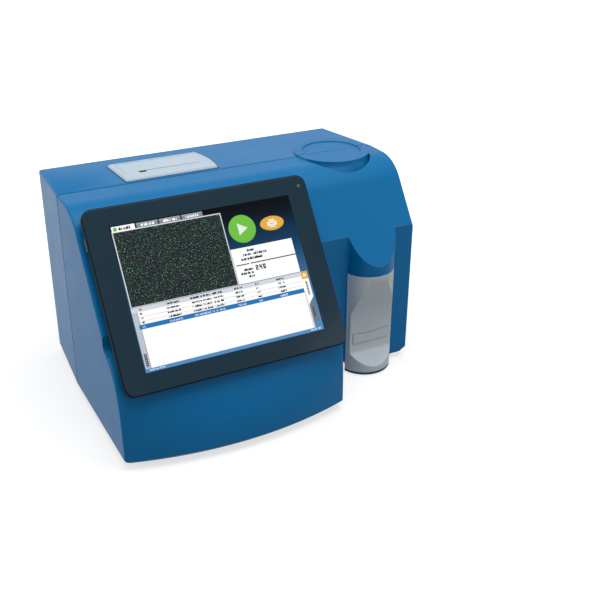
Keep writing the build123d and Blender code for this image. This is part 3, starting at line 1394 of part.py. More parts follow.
def standoff_places():
    """Middles of the board's four standoffs."""
    left = BOARD_X + STANDOFF_INSET
    right = BOARD_X + BOARD_WIDTH - STANDOFF_INSET
    front = BOARD_Y + STANDOFF_INSET
    back = BOARD_Y + BOARD_LENGTH - STANDOFF_INSET
    return [(left, front), (right, front), (left, back), (right, back)]


def main_board():
    """Circuit board with a finned heat sink, chip packages and edge headers."""
    low = floor_z + STANDOFF_HEIGHT
    top = low + BOARD_THICK
    right = BOARD_X + BOARD_WIDTH
    back = BOARD_Y + BOARD_LENGTH
    board = block(BOARD_X, right, BOARD_Y, back, low, top)
    sink_x = BOARD_X + BOARD_WIDTH / 2 - SINK_WIDTH / 2
    sink_y = BOARD_Y + BOARD_LENGTH / 2 - SINK_WIDTH / 2
    board += block(sink_x, sink_x + SINK_WIDTH, sink_y, sink_y + SINK_WIDTH, top, top + SINK_GAP)
    x = sink_x
    while x + SINK_FIN < sink_x + SINK_WIDTH + SINK_FIN:
        board += block(x, x + SINK_FIN, sink_y, sink_y + SINK_WIDTH, top, top + SINK_HEIGHT)
        x += SINK_FIN + SINK_GAP
    for share in CHIP_PACK_SHARES:
        x = BOARD_X + BOARD_WIDTH * share
        board += block(x, x + CHIP_PACK, sink_y, sink_y + CHIP_PACK, top, top + CHIP_PACK_HEIGHT)
    y = back - HEADER_WIDTH
    for x in (BOARD_X + STANDOFF_INSET * 3, right - STANDOFF_INSET * 3 - HEADER_LENGTH):
        board += block(x, x + HEADER_LENGTH, y, back, top, top + HEADER_HEIGHT)
    return board


def power_supply():
    """Power supply in a folded case with ventilation slots on top."""
    top = floor_z + SUPPLY_HEIGHT
    right = SUPPLY_X + SUPPLY_WIDTH
    back = SUPPLY_Y + SUPPLY_LENGTH
    body = block(SUPPLY_X, right, SUPPLY_Y, back, floor_z, top)
    pitch = SUPPLY_WIDTH / (SUPPLY_SLOT_COUNT + 1)
    for index in range(SUPPLY_SLOT_COUNT):
        x = SUPPLY_X + pitch * (index + 1)
        near = SUPPLY_Y + SUPPLY_LENGTH / 4
        far = back - SUPPLY_LENGTH / 4
        body -= block(x - SUPPLY_SLOT / 2, x + SUPPLY_SLOT / 2, near, far, top - SUPPLY_SKIN, top + OVERRUN)
    return body


volume_rocker, power_key = tablet_keys()

nodes = {
    "front_cover": front_cover(),
    "rear_housing": rear_housing(),
    "chassis_plate": chassis_plate(),
    "floor_screws": floor_screws(),
    "column_cover": column_cover(),
    "column_base": column_base(),
    "chip_drawer": chip_drawer(),
    "counting_chip": counting_chip(),
    "drawer_rails": drawer_rails(),
    "drawer_leadscrew": drawer_leadscrew(),
    "drawer_motor": drawer_motor(),
    "optics_frame": optics_frame(),
    "lamp_housing": lamp_housing(),
    "lamp_filter": lamp_filter(),
    "objective": objective(),
    "camera_tube": camera_tube(),
    "camera_board": camera_board(),
    "focus_carriage": focus_carriage(),
    "guide_rods": guide_rods(),
    "focus_leadscrew": focus_leadscrew(),
    "focus_motor": focus_motor(),
    "tablet_bracket": tablet_bracket(),
    "bracket_screws": bracket_screws(),
    "tablet_back_shell": tablet_back_shell(),
    "tablet_trim": tablet_trim(),
    "tablet_glass": tablet_glass(),
    "tablet_display": tablet_display(),
    "tablet_camera_lens": tablet_camera_lens(),
    "tablet_volume_rocker": volume_rocker,
    "tablet_power_key": power_key,
    "printer_bezel": printer_bezel(),
    "printer_latch_button": printer_latch_button(),
    "printer_lid": printer_lid(),
    "platen_roller": platen_roller(),
    "print_head": print_head(),
    "paper_bucket": paper_bucket(),
    "paper_roll": paper_roll(),
    "power_inlet": power_inlet(),
    "rocker_frame": rocker_frame(),
    "rocker_switch": rocker_switch(),
    "lan_socket": lan_socket(),
    "usb_sockets": usb_sockets(),
    "fan_frame": fan_frame(),
    "fan_rotor": fan_rotor(),
    "fan_guard": fan_guard(),
    "guard_screws": guard_screws(),
    "rear_panel": rear_panel(),
    "panel_screws": panel_screws(),
    "main_board": main_board(),
    "power_supply": power_supply(),
}
for number, (foot_x, foot_y) in enumerate(foot_places(), 1):
    nodes[f"foot_{number}"] = foot(foot_x, foot_y)

# The origin goes to the middle of the underside of the whole object's box
solids = {}
for name, shape in nodes.items():
    pieces = shape if isinstance(shape, list) else [shape]
    solids[name] = [solid for piece in pieces for solid in piece.solids()]
whole = Compound([solid for group in solids.values() for solid in group]).bounding_box()
origin = Pos(-(whole.min.X + whole.max.X) / 2, -(whole.min.Y + whole.max.Y) / 2, -whole.min.Z)

os.makedirs("parts", exist_ok=True)
for name, group in solids.items():
    moved = [origin * solid for solid in group]
    export_step(moved[0] if len(moved) == 1 else Compound(moved), f"parts/{name}.step")
print("origin of the housing's frame", [round(value, 3) for value in origin.position])
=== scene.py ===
import json
import math

import bmesh
import bpy
from mathutils import Matrix, Vector
from mathutils.bvhtree import BVHTree
from mathutils.kdtree import KDTree


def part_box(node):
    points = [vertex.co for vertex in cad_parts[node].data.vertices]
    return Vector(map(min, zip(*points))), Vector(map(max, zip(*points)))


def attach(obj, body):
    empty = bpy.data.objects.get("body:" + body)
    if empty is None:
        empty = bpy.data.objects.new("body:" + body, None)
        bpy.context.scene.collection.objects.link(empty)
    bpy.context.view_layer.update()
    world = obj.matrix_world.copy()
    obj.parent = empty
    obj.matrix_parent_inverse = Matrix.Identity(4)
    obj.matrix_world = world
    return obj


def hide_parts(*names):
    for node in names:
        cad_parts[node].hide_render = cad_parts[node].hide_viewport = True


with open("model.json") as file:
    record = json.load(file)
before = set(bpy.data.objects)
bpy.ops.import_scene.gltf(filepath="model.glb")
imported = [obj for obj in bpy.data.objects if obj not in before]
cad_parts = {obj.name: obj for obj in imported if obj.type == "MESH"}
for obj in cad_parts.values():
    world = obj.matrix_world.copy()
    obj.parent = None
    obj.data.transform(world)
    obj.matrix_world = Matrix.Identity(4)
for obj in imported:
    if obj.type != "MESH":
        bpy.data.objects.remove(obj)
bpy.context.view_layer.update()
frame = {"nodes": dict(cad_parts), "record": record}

# Camera: where the photographer stood, in front of the counter, to its left and a little above it, with a
# lens of middling length.
camera_place = Vector((-0.4006, -0.8911, 0.5855))
camera_turn_deg = -28.08
camera_down_deg = 26.8
camera_roll_deg = 0.46
camera_data = bpy.data.cameras.new("photographers_camera")
camera_data.lens = 57.1
camera_data.sensor_width = 36.0
camera = bpy.data.objects.new("photographers_camera", camera_data)
bpy.context.scene.collection.objects.link(camera)
turned = Matrix.Rotation(math.radians(camera_turn_deg), 4, "Z")
lowered = Matrix.Rotation(math.radians(90 - camera_down_deg), 4, "X")
rolled = Matrix.Rotation(math.radians(camera_roll_deg), 4, "Z")
camera.matrix_world = Matrix.Translation(camera_place) @ turned @ lowered @ rolled
bpy.context.scene.camera = camera


# Front cover: one injection moulding in satin blue with a fine spark-eroded grain. It has the slope for the
# tablet, the bowed lower front and the column's collar, and closes on the rear housing at a seam.
class Wire:
    """One socket in a finish's shader. Sums and products of wires add Math nodes to the same finish."""

    def __init__(self, finish, socket=None):
        self.finish = finish
        self.socket = socket

    def add(self, kind, settings, sockets, output=0):
        """Adds a node of any kind, sets it up, then fills its sockets with values or wires."""
        tree = self.finish.node_tree
        node = tree.nodes.new(kind)
        for name, value in settings.items():
            if name == "stops":
                while len(node.color_ramp.elements) < len(value):
                    node.color_ramp.elements.new(1.0)
                for stop, (place, colour) in zip(node.color_ramp.elements, value):
                    stop.position = place
                    stop.color = (*colour, 1.0)
            else:
                setattr(node, name, value)
        for name, value in sockets.items():
            if isinstance(value, Wire):
                tree.links.new(value.socket, node.inputs[name])
            else:
                node.inputs[name].default_value = value
        return Wire(self.finish, node.outputs[output] if len(node.outputs) else None)

    def axis(self, letter):
        """One number of a place: X to the right, Y to the back or Z up."""
        return self.add("ShaderNodeSeparateXYZ", {}, {"Vector": self}, letter)

    def maths(self, operation, *others):
        return self.add("ShaderNodeMath", {"operation": operation}, dict(enumerate((self, *others))))

    def between(self, low, high):
        return (self > low) * (self < high)

    def __add__(self, other):
        return self.maths("ADD", other)

    __radd__ = __add__

    def __sub__(self, other):
        return self.maths("SUBTRACT", other)

    def __rsub__(self, other):
        return self.add("ShaderNodeMath", {"operation": "SUBTRACT"}, {0: other, 1: self})

    def __mul__(self, other):
        return self.maths("MULTIPLY", other)

    __rmul__ = __mul__

    def __truediv__(self, other):
        return self.maths("DIVIDE", other)

    def __gt__(self, other):
        return self.maths("GREATER_THAN", other)

    def __lt__(self, other):
        return self.maths("LESS_THAN", other)

    def __or__(self, other):
        return self.maths("MAXIMUM", other)

    def __abs__(self):
        return self.maths("ABSOLUTE")


def distance(across, along):
    """Length of the line whose two sides are given."""
    return (across * across + along * along).maths("SQRT")


def start_finish(name):
    """Opens a finish, with a wire that gives the place on the piece in metres."""
    finish = bpy.data.materials.new(name)
    finish.use_nodes = True
    finish.node_tree.nodes.clear()
    return Wire(finish).add("ShaderNodeTexCoord", {}, {}, "Object")


def end_finish(place, sockets):
    """Closes a finish with its surface shader, and returns it."""
    surface = place.add("ShaderNodeBsdfPrincipled", {}, sockets)
    place.add("ShaderNodeOutputMaterial", {}, {"Surface": surface})
    return place.finish


def noise(place, size, detail=2.0):
    """Soft random cloud between 0 and 1 with features of a size in metres."""
    sockets = {"Vector": place, "Scale": 1 / size, "Detail": detail, "Roughness": 0.55}
    return place.add("ShaderNodeTexNoise", {}, sockets, "Fac")


def blend(mask, low, high):
    """Colour that goes from low to high with the mask."""
    settings = {"data_type": "RGBA", "clamp_factor": True}
    low = low if isinstance(low, Wire) else (*low, 1.0)
    high = high if isinstance(high, Wire) else (*high, 1.0)
    return mask.add("ShaderNodeMix", settings, {0: mask, 6: low, 7: high}, 2)


def times(colour, amount):
    """A colour made lighter or darker."""
    return tuple(min(channel * amount, 1.0) for channel in colour)


def relief(place, height, depth):
    """Surface relief of a depth in metres."""
    return place.add("ShaderNodeBump", {}, {"Height": height, "Distance": depth}, "Normal")


def wear_and_shade_edges(place):
    """1 on the rounded edges, where hands and cloths rub, and 0 elsewhere. Finishes use it for wear, and
    the drawer's finish for painted shade.
    """
    return place.add("ShaderNodeAttribute", {"attribute_name": "worn_edge"}, {}, "Fac")


def moulded(name, colour, roughness, grain, edge_wear_and_shade, specular=0.5, shades=None):
    """Moulded plastic: flow clouds, a grain of a size and depth, handling marks, and rounded edges that are
    lighter with wear, or painted darker as shade where the edge amount is below 0. The shades are a mask
    of painted shade, where the colour goes nearly black and dull."""
    place = start_finish(name)
    flow = noise(place, 0.11, 3.0)
    handling = noise(place, 0.028, 4.0)
    pits = noise(place, grain[0], 3.0)
    edge_mask = wear_and_shade_edges(place)
    shade = blend(flow, times(colour, 0.93), times(colour, 1.07))
    shade = blend(pits * 0.16, shade, times(colour, 0.8))
    lift = tuple(channel + (1 - channel) * edge_wear_and_shade for channel in colour)
    shade = blend(edge_mask * (0.35 + 0.5 * handling), shade, lift)
    gloss = roughness + 0.1 * (handling - 0.5) + 0.05 * (pits - 0.5) - 0.06 * edge_mask
    if shades:
        mask = shades(place)
        shade = blend(mask, shade, times(colour, 0.05))
        gloss = gloss + 0.55 * mask
    return end_finish(place, {
        "Base Color": shade,
        "Roughness": gloss,
        "Normal": relief(place, pits, grain[1]),
        "Specular IOR Level": specular,
    })


def cad_shape(node):
    """A copy of a CAD node's mesh, with its loose triangles joined."""
    shape = bmesh.new()
    shape.from_mesh(frame["nodes"][node].data)
    bmesh.ops.remove_doubles(shape, verts=shape.verts, dist=0.000002)
    return shape


def clear_flats(shape):
    """Clears the lines across flat faces."""
    bmesh.ops.dissolve_limit(
        shape, angle_limit=math.radians(0.2), use_dissolve_boundaries=False,
        verts=shape.verts, edges=shape.edges, delimit={"NORMAL"},
    )


def break_edges(shape, width):
    """Rounds each outer edge that turns sharply, and marks the rounded faces, which finishes use for wear
    and the drawer's finish for painted shade. Where several sharp edges run together too closely for
    the width, those stay as they are."""
    sharp_turn = math.radians(32)
    longest_slide, highest_lift = 3 * width, 0.75 * width
    surface = BVHTree.FromBMesh(shape)
    shape.verts.index_update()
    shape.edges.index_update()
    corners = KDTree(len(shape.verts))
    for vert in shape.verts:
        corners.insert(vert.co, vert.index)
    corners.balance()
    sharp = {}
    for edge in shape.edges:
        if len(edge.link_faces) == 2 and edge.is_convex and edge.calc_face_angle() > sharp_turn:
            sharp[edge.index] = {vert.index for vert in edge.verts}
    while True:
        broken = shape.copy()
        edge_mask = broken.faces.layers.float.new("worn_edge")
        broken.edges.ensure_lookup_table()
        made = bmesh.ops.bevel(
            broken, geom=[broken.edges[number] for number in sharp], offset=width, offset_type="OFFSET",
            segments=2, profile=0.5, affect="EDGES", clamp_overlap=False, material=-1,
        )
        for face in made["faces"]:
            face[edge_mask] = 1.0
        crowded = set()
        for vert in broken.verts:
            slid = corners.find(vert.co)[2]
            if slid > longest_slide or surface.find_nearest(vert.co)[3] > highest_lift:
                crowded.update(index for _, index, _ in corners.find_range(vert.co, slid + 2 * width))
        kept = {number: ends for number, ends in sharp.items() if crowded.isdisjoint(ends)}
        if len(kept) == len(sharp):
            break
        sharp = kept
        broken.free()
    shape.free()
    return broken


bodies = frame["record"]["behaviour"]["bodies"]


def finish_piece(name, shape, node, slot, *finishes):
    """Makes a finished shape an object in a CAD node's place, which rides on the node's body. Its smooth
    shading keeps flat faces flat."""
    for face in shape.faces:
        face.smooth = True
    mesh = bpy.data.meshes.new(name)
    shape.to_mesh(mesh)
    shape.free()
    for finish in finishes:
        mesh.materials.append(finish)
    piece = bpy.data.objects.new(name, mesh)
    bpy.context.scene.collection.objects.link(piece)
    even = piece.modifiers.new("even_shading", "WEIGHTED_NORMAL")
    even.mode = "FACE_AREA_WITH_ANGLE"
    even.weight = 80
    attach(piece, next(body for body, nodes in bodies.items() if node in nodes))
    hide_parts(node)


def dressed(node, slot, finish, edge=0.0002):
    """The CAD node's own shape with its edges broken, in its finish."""
    shape = cad_shape(node)
    clear_flats(shape)
    finish_piece(node + "_piece", break_edges(shape, edge), node, slot, finish)


seam_y, seam_half, more_on_sides, sides_top = 0.0373, 0.0006, 0.0003, 0.238
boss_x, dish_radius, dish_line, dish_low = 0.13431, 0.034, 0.0005, 0.2
opening_left, opening_front, opening_back, opening_low = -0.1135, 0.0423, 0.1127, 0.22
opening_arc_x, opening_arc_y, opening_arc_radius = -0.1533, 0.07774, 0.1518
rim_top = 0.0088


def housing_shades(place):
    """Painted shade in the seam between the two halves, at the foot of the round dish, round the printer's
    opening, whose right edge is an arc, and along the housing's lower rim."""
    x, y, z = map(place.axis, "XYZ")
    seam = abs(y - seam_y) < seam_half + more_on_sides * (z < sides_top)
    from_boss = distance(x - boss_x, y - seam_y)
    seam = seam * (0.74 - 0.7 * (from_boss < dish_radius))
    dish_foot = (abs(from_boss - dish_radius) < dish_line) * (z > dish_low) * 0.29
    opening = distance(x - opening_arc_x, y - opening_arc_y) < opening_arc_radius
    opening = opening * (x > opening_left) * y.between(opening_front, opening_back) * (z > opening_low)
    return seam | dish_foot | opening * 0.62 | (z < rim_top) * 0.62


# The housing's blue is painted darker as shade in its seam, at the dish's foot, round the printer's opening
# and along its lower rim.
blue_finish = moulded(
    "satin_blue_moulding", (0.0, 0.131, 0.328), roughness=0.4, grain=(0.00055, 0.00003), edge_wear_and_shade=0.07,
    specular=0.14, shades=housing_shades,
)
dressed("front_cover", "housing", blue_finish, edge=0.0003)

# Rear housing: the second blue moulding, drafted inwards to the rear wall. Its tongue slides into the front
# cover, so that only a fine shadow line shows between the two halves.
dressed("rear_housing", "housing", blue_finish, edge=0.0003)


# Floor plate: zinc-plated sheet steel, punched, with four pressed standoffs for the circuit board. It lies
# on the flange round the underside of the housing.
def stretched(place, *scale):
    """The place with its three axes scaled, which stretches a pattern where the scale is small."""
    return place.add("ShaderNodeMapping", {}, {"Vector": place, "Scale": scale}, "Vector")


def plated(name, colour, roughness, streak):
    """Rolled and plated sheet: long faint streaks, cloudy plating and small dull spots."""
    place = start_finish(name)
    rolling = noise(stretched(place, 1.0, 0.06, 1.0), 0.0009, 4.0)
    clouds = noise(place, 0.02, 4.0)
    shade = blend(clouds, times(colour, 0.86), times(colour, 1.08))
    return end_finish(place, {
        "Base Color": blend(wear_and_shade_edges(place) * 0.6, shade, times(colour, 1.25)),
        "Metallic": 1.0,
        "Roughness": roughness + streak * (rolling - 0.5) + 0.12 * (clouds - 0.5),
        "Normal": relief(place, rolling, 0.000006),
    })


zinc = plated("zinc_plated_sheet", (0.56, 0.57, 0.585), roughness=0.36, streak=0.16)
dressed("chassis_plate", "steel", zinc, edge=0.0003)


# Floor screws: pan heads with a cross recess, pressed from plated wire. Each head stands on the flange's
# underside and its shank holds the floor plate.
def extruded(shape, edges):
    """Extrudes a loop of edges, and gives the new loop's edges and points."""
    grown = bmesh.ops.extrude_edge_only(shape, edges=edges)["geom"]
    points = [item for item in grown if isinstance(item, bmesh.types.BMVert)]
    lines = [item for item in grown if isinstance(item, bmesh.types.BMEdge)]
    return [line for line in lines if all(vert in points for vert in line.verts)], points


def pan_head(shape, seat, outwards, radius, height):
    """Adds one domed screw head with a cross recess, seated at a point and facing outwards."""
    rings = ((1.0, 0.0), (1.0, 0.42), (0.95, 0.66), (0.83, 0.86), (0.64, 0.97), (0.56, 1.0))
    every = list(bmesh.ops.create_circle(shape, cap_ends=True, segments=28, radius=radius)["verts"])
    loop = list(dict.fromkeys(edge for vert in every for edge in vert.link_edges))
    for (before, low), (share, high) in zip(rings, rings[1:]):
        loop, points = extruded(shape, loop)
        bmesh.ops.scale(shape, vec=(share / before, share / before, 1.0), verts=points)
        bmesh.ops.translate(shape, vec=(0, 0, (high - low) * height), verts=points)
        every += points
    arm, web, depth, taper = 0.48 * radius, 0.13 * radius, 0.55 * height, 0.8
    corners = [(arm, web), (web, web), (web, arm), (-web, arm), (-web, web), (-arm, web)]
    corners += [(-x, -y) for x, y in corners]
    cross = [shape.verts.new((x, y, height)) for x, y in corners]
    mouth = [shape.edges.new((a, b)) for a, b in zip(cross, cross[1:] + cross[:1])]
    bmesh.ops.triangle_fill(shape, use_beauty=True, edges=loop + mouth)
    floor, points = extruded(shape, mouth)
    bmesh.ops.translate(shape, vec=(0, 0, -depth), verts=points)
    bmesh.ops.scale(shape, vec=(taper, taper, 1.0), verts=points)
    bmesh.ops.edgeloop_fill(shape, edges=floor)
    every += cross + points
    turn = Vector((0, 0, 1)).rotation_difference(outwards).to_matrix()
    bmesh.ops.rotate(shape, cent=(0, 0, 0), matrix=turn, verts=every)
    bmesh.ops.translate(shape, vec=seat, verts=every)


screw_plating = plated("plated_screws", (0.5, 0.5, 0.51), roughness=0.3, streak=0.05)


def screw_group(node, outwards):
    """Replaces a node's plain heads, one by one in the mesh's order, with pan heads of the same size and
    place."""
    plain = cad_shape(node)
    left = list(plain.verts)
    heads = bmesh.new()
    while left:
        solid, reach = [], left[:1]
        while reach:
            vert = reach.pop()
            if vert not in solid:
                solid.append(vert)
                reach += [edge.other_vert(vert) for edge in vert.link_edges]
        left = [vert for vert in left if vert not in solid]
        middle = sum((vert.co for vert in solid), Vector()) / len(solid)
        along = [vert.co.dot(outwards) for vert in solid]
        seat = middle + outwards * (min(along) - middle.dot(outwards))
        spokes = [vert.co - middle for vert in solid]
        radius = max((spoke - outwards * spoke.dot(outwards)).length for spoke in spokes)
        pan_head(heads, seat, outwards, radius, max(along) - min(along))
    plain.free()
    bmesh.ops.recalc_face_normals(heads, faces=heads.faces)
    heads.faces.layers.float.new("worn_edge")
    finish_piece(node + "_heads", heads, node, "screw", screw_plating)


screw_group("floor_screws", Vector((0, 0, -1)))


# Feet: five moulded rubber feet, each held by a screw in its hollow. They lift the housing by 7.5 mm, grip
# the bench, and pick up a little dust on their treads.
def rubbery(name, colour, roughness):
    """Moulded rubber: matt, slightly dusty and pitted."""
    place = start_finish(name)
    dust = noise(place, 0.004, 5.0)
    pits = noise(place, 0.0004)
    dusty = tuple(channel + 0.035 for channel in colour)
    return end_finish(place, {
        "Base Color": blend(dust * dust, times(colour, 0.85), dusty),
        "Roughness": roughness + 0.12 * (dust - 0.5),
        "Normal": relief(place, pits, 0.00002),
        "Specular IOR Level": 0.3,
    })


foot_rubber = rubbery("foot_rubber", (0.022, 0.022, 0.023), roughness=0.78)
for number in range(1, 6):
    dressed(f"foot_{number}", "rubber", foot_rubber, edge=0.00025)

# Column cover and base: a half-round shell in light grey with a flat facet for the chip's drawer, clipped to
# the tower's front wall, and the rim that closes it underneath, in blue painted darker as the shade beneath
# the column.
column_grey = (0.475, 0.525, 0.565)
crease_top_x, crease_slant, crease_half = 0.1315, 0.41, 0.0002
crease_low_z, crease_top_z = 0.0085, 0.0255


def column_crease_shade(place):
    """Painted shade of a faint slanted crease below the drawer."""
    x, y, z = map(place.axis, "XYZ")
    from_line = x - crease_top_x - (crease_top_z - z) * crease_slant
    return (abs(from_line) < crease_half) * z.between(crease_low_z, crease_top_z) * (y < 0.0) * 0.25


# The cover's grey carries the painted shade of that crease.
cover_finish = moulded(
    "satin_grey_cover", column_grey, roughness=0.46, grain=(0.0005, 0.00002), edge_wear_and_shade=0.1, specular=0.14,
    shades=column_crease_shade,
)
dressed("column_cover", "column", cover_finish, edge=0.0003)
# The rim's blue is painted darker, as the shade beneath the column.
shaded_blue_finish = moulded(
    "blue_moulding_painted_shade", (0.0, 0.045, 0.12), roughness=0.45, grain=(0.00055, 0.00003), edge_wear_and_shade=0.06,
    specular=0.2,
)
dressed("column_base", "housing_dark", shaded_blue_finish, edge=0.0003)

# Chip drawer: moulded in the column's grey, with a wave along its upper edge to pull it by, and a tray with
# a sunk place for the counting chip. The chip is clear plastic with a round chamber and two filling ports.
# The drawer's rounded edges are painted dark, as the shade in the gap round it.
drawer_edge_shade_finish = moulded(
    "satin_grey_drawer_edge_shade", column_grey, roughness=0.46, grain=(0.0005, 0.00002), edge_wear_and_shade=-0.8, specular=0.14
)
dressed("chip_drawer", "column", drawer_edge_shade_finish, edge=0.00045)


def clear_moulding(name, colour, roughness, thick_tint):
    """Clear polymer: nearly white where it is thin, with a faint tint and soft scratches."""
    place = start_finish(name)
    scratches = noise(place, 0.0012, 5.0)
    tint = noise(place, 0.01, 1.0)
    return end_finish(place, {
        "Base Color": blend(tint, colour, times(colour, thick_tint)),
        "Roughness": roughness + 0.1 * scratches,
        "Normal": relief(place, scratches, 0.000004),
        "Transmission Weight": 0.75,
        "IOR": 1.49,
    })


chip_plastic = clear_moulding("clear_chip_plastic", (0.9, 0.95, 0.97), roughness=0.06, thick_tint=0.9)
dressed("counting_chip", "clear", chip_plastic, edge=0.00012)


# Drawer rails: two aluminium bars, milled with a groove that the tray's edges run in, bolted to the optics'
# base plate.
def milled(name, colour, roughness, pitch):
    """Milled and bead-blasted aluminium with faint cutter marks."""
    place = start_finish(name)
    clouds = noise(place, 0.008, 4.0)
    blast = noise(place, 0.0003)
    cutter = place.add(
        "ShaderNodeTexWave", {"bands_direction": "DIAGONAL"},
        {"Vector": place, "Scale": 1 / pitch / 20, "Distortion": 1.5, "Detail": 2.0}, "Fac",
    )
    shade = blend(clouds, times(colour, 0.88), times(colour, 1.06))
    return end_finish(place, {
        "Base Color": blend(wear_and_shade_edges(place) * 0.7, shade, times(colour, 1.3)),
        "Metallic": 1.0,
        "Roughness": roughness + 0.08 * (cutter - 0.5) + 0.1 * (clouds - 0.5),
        "Normal": relief(place, cutter * 0.4 + blast * 0.6, 0.000008),
    })


aluminium = milled("milled_aluminium", (0.62, 0.63, 0.645), roughness=0.34, pitch=0.0008)
dressed("drawer_rails", "machined", aluminium, edge=0.0003)


# Leadscrews and guide rods: hardened steel. The rods are ground smooth, and the two screws have a rolled
# thread, fine on the focus and coarser on the drawer.
def ground(name, colour, roughness):
    """Ground, lightly oiled steel."""
    place = start_finish(name)
    oil = noise(place, 0.006, 3.0)
    lines = noise(place, 0.0002, 1.0)
    return end_finish(place, {
        "Base Color": blend(oil, times(colour, 0.9), colour),
        "Metallic": 1.0,
        "Roughness": roughness + 0.12 * oil,
        "Normal": relief(place, lines, 0.000002),
    })


def ripple(angle):
    """Swings between 0 and 1 as the angle grows."""
    return angle.maths("SINE") * 0.5 + 0.5


def threaded(name, colour, pitch, along):
    """Rolled thread: grooves round the axis, darker at their bottoms."""
    place = start_finish(name)
    groove = ripple(place.axis(along) * (2 * math.pi / pitch))
    return end_finish(place, {
        "Base Color": blend(groove, times(colour, 0.4), colour),
        "Metallic": 1.0,
        "Roughness": 0.42 - 0.18 * groove,
        "Normal": relief(place, groove, 0.0003),
    })


steel_grey = (0.6, 0.6, 0.61)
dressed("guide_rods", "ground_steel", ground("ground_rods", steel_grey, roughness=0.14), edge=0.00025)
dressed("drawer_leadscrew", "ground_steel", threaded("drawer_thread", steel_grey, 0.002, "Y"))
dressed("focus_leadscrew", "ground_steel", threaded("focus_thread", steel_grey, 0.001, "Z"))


# Stepping motors: square cans with a stack of black-varnished steel laminations between two die-cast end
# caps, screwed to the frame's upper lug and to the back of its spine.
def laminated(name, middle, half, along):
    """Motor can: bare cast ends, and fine black laminations between them."""
    place = start_finish(name)
    length = place.axis(along)
    stack = abs(length - middle) < half * 0.55
    sheets = ripple(length * 9000.0)
    clouds = noise(place, 0.003, 4.0)
    cast = blend(clouds, (0.3, 0.3, 0.31), (0.42, 0.42, 0.43))
    black = blend(sheets, (0.012, 0.012, 0.013), (0.04, 0.04, 0.042))
    return end_finish(place, {
        "Base Color": blend(stack, cast, black),
        "Metallic": 0.9 - 0.6 * stack,
        "Roughness": 0.42 + 0.15 * (clouds - 0.5),
        "Normal": relief(place, sheets * stack * 0.5 + clouds * 0.5, 0.00004),
    })


for motor, along in (("drawer_motor", 1), ("focus_motor", 2)):
    low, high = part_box(motor)
    middle, half = (low[along] + high[along]) / 2, (high[along] - low[along]) / 2
    dressed(motor, "motor", laminated(motor + "_can", middle, half, "XYZ"[along]), edge=0.0003)

# Optics frame and focus carriage: cast and milled aluminium. The frame stands on the floor plate, holds both
# leadscrews, the rods and the motors, and the carriage slides on the rods with the camera tube in its clamp.
dressed("optics_frame", "machined", aluminium, edge=0.0004)
dressed("focus_carriage", "machined", aluminium, edge=0.0004)

# Lamp and filter: a turned, finned lamp housing under the chip, with a round coated filter glass on top that
# shines blue at a slant.
turned_lamp = milled("turned_lamp", (0.2, 0.2, 0.205), roughness=0.3, pitch=0.0004)
dressed("lamp_housing", "machined", turned_lamp, edge=0.00015)
filter_glass = clear_moulding("blue_filter_glass", (0.15, 0.4, 0.95), roughness=0.03, thick_tint=0.85)
dressed("lamp_filter", "filter", filter_glass, edge=0.0001)


# Objective, tube and camera: a turned, lacquered objective with a knurled grip, screwed into a black
# anodised tube, with the camera's board and case on the tube's upper end.
def from_middle(place, node):
    """The place measured from the middle of a CAD node's box, and that box's size."""
    low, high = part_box(node)
    middle = (low + high) / 2
    return place.add("ShaderNodeVectorMath", {"operation": "SUBTRACT"}, {0: place, 1: middle}), high - low


def knurled(name, colour, node, ridges, grip_from):
    """Turned metal with straight knurling round its upper end and fine turning marks below."""
    place = start_finish(name)
    away, size = from_middle(place, node)
    x, y, z = map(away.axis, "XYZ")
    ridge = ripple(y.maths("ARCTAN2", x) * ridges)
    turning = ripple(z * 20000.0)
    grip = z > size.z * (grip_from - 0.5)
    clouds = noise(place, 0.006, 3.0)
    shade = blend(clouds, times(colour, 0.88), colour)
    return end_finish(place, {
        "Base Color": blend(grip * (1 - ridge) * 0.6, shade, times(colour, 0.35)),
        "Metallic": 1.0,
        "Roughness": 0.24 + 0.12 * clouds,
        "Normal": relief(place, grip * ridge + (1 - grip) * turning * 0.03, 0.0002),
        "Coat Weight": 0.3,
    })


lacquer = knurled("turned_objective", (0.72, 0.6, 0.36), "objective", ridges=90.0, grip_from=0.88)
dressed("objective", "objective", lacquer)
anodising = knurled("anodised_tube", (0.035, 0.035, 0.038), "camera_tube", ridges=120.0, grip_from=0.9)
dressed("camera_tube", "black_anodised", anodising, edge=0.0003)

board_thickness = 0.0016


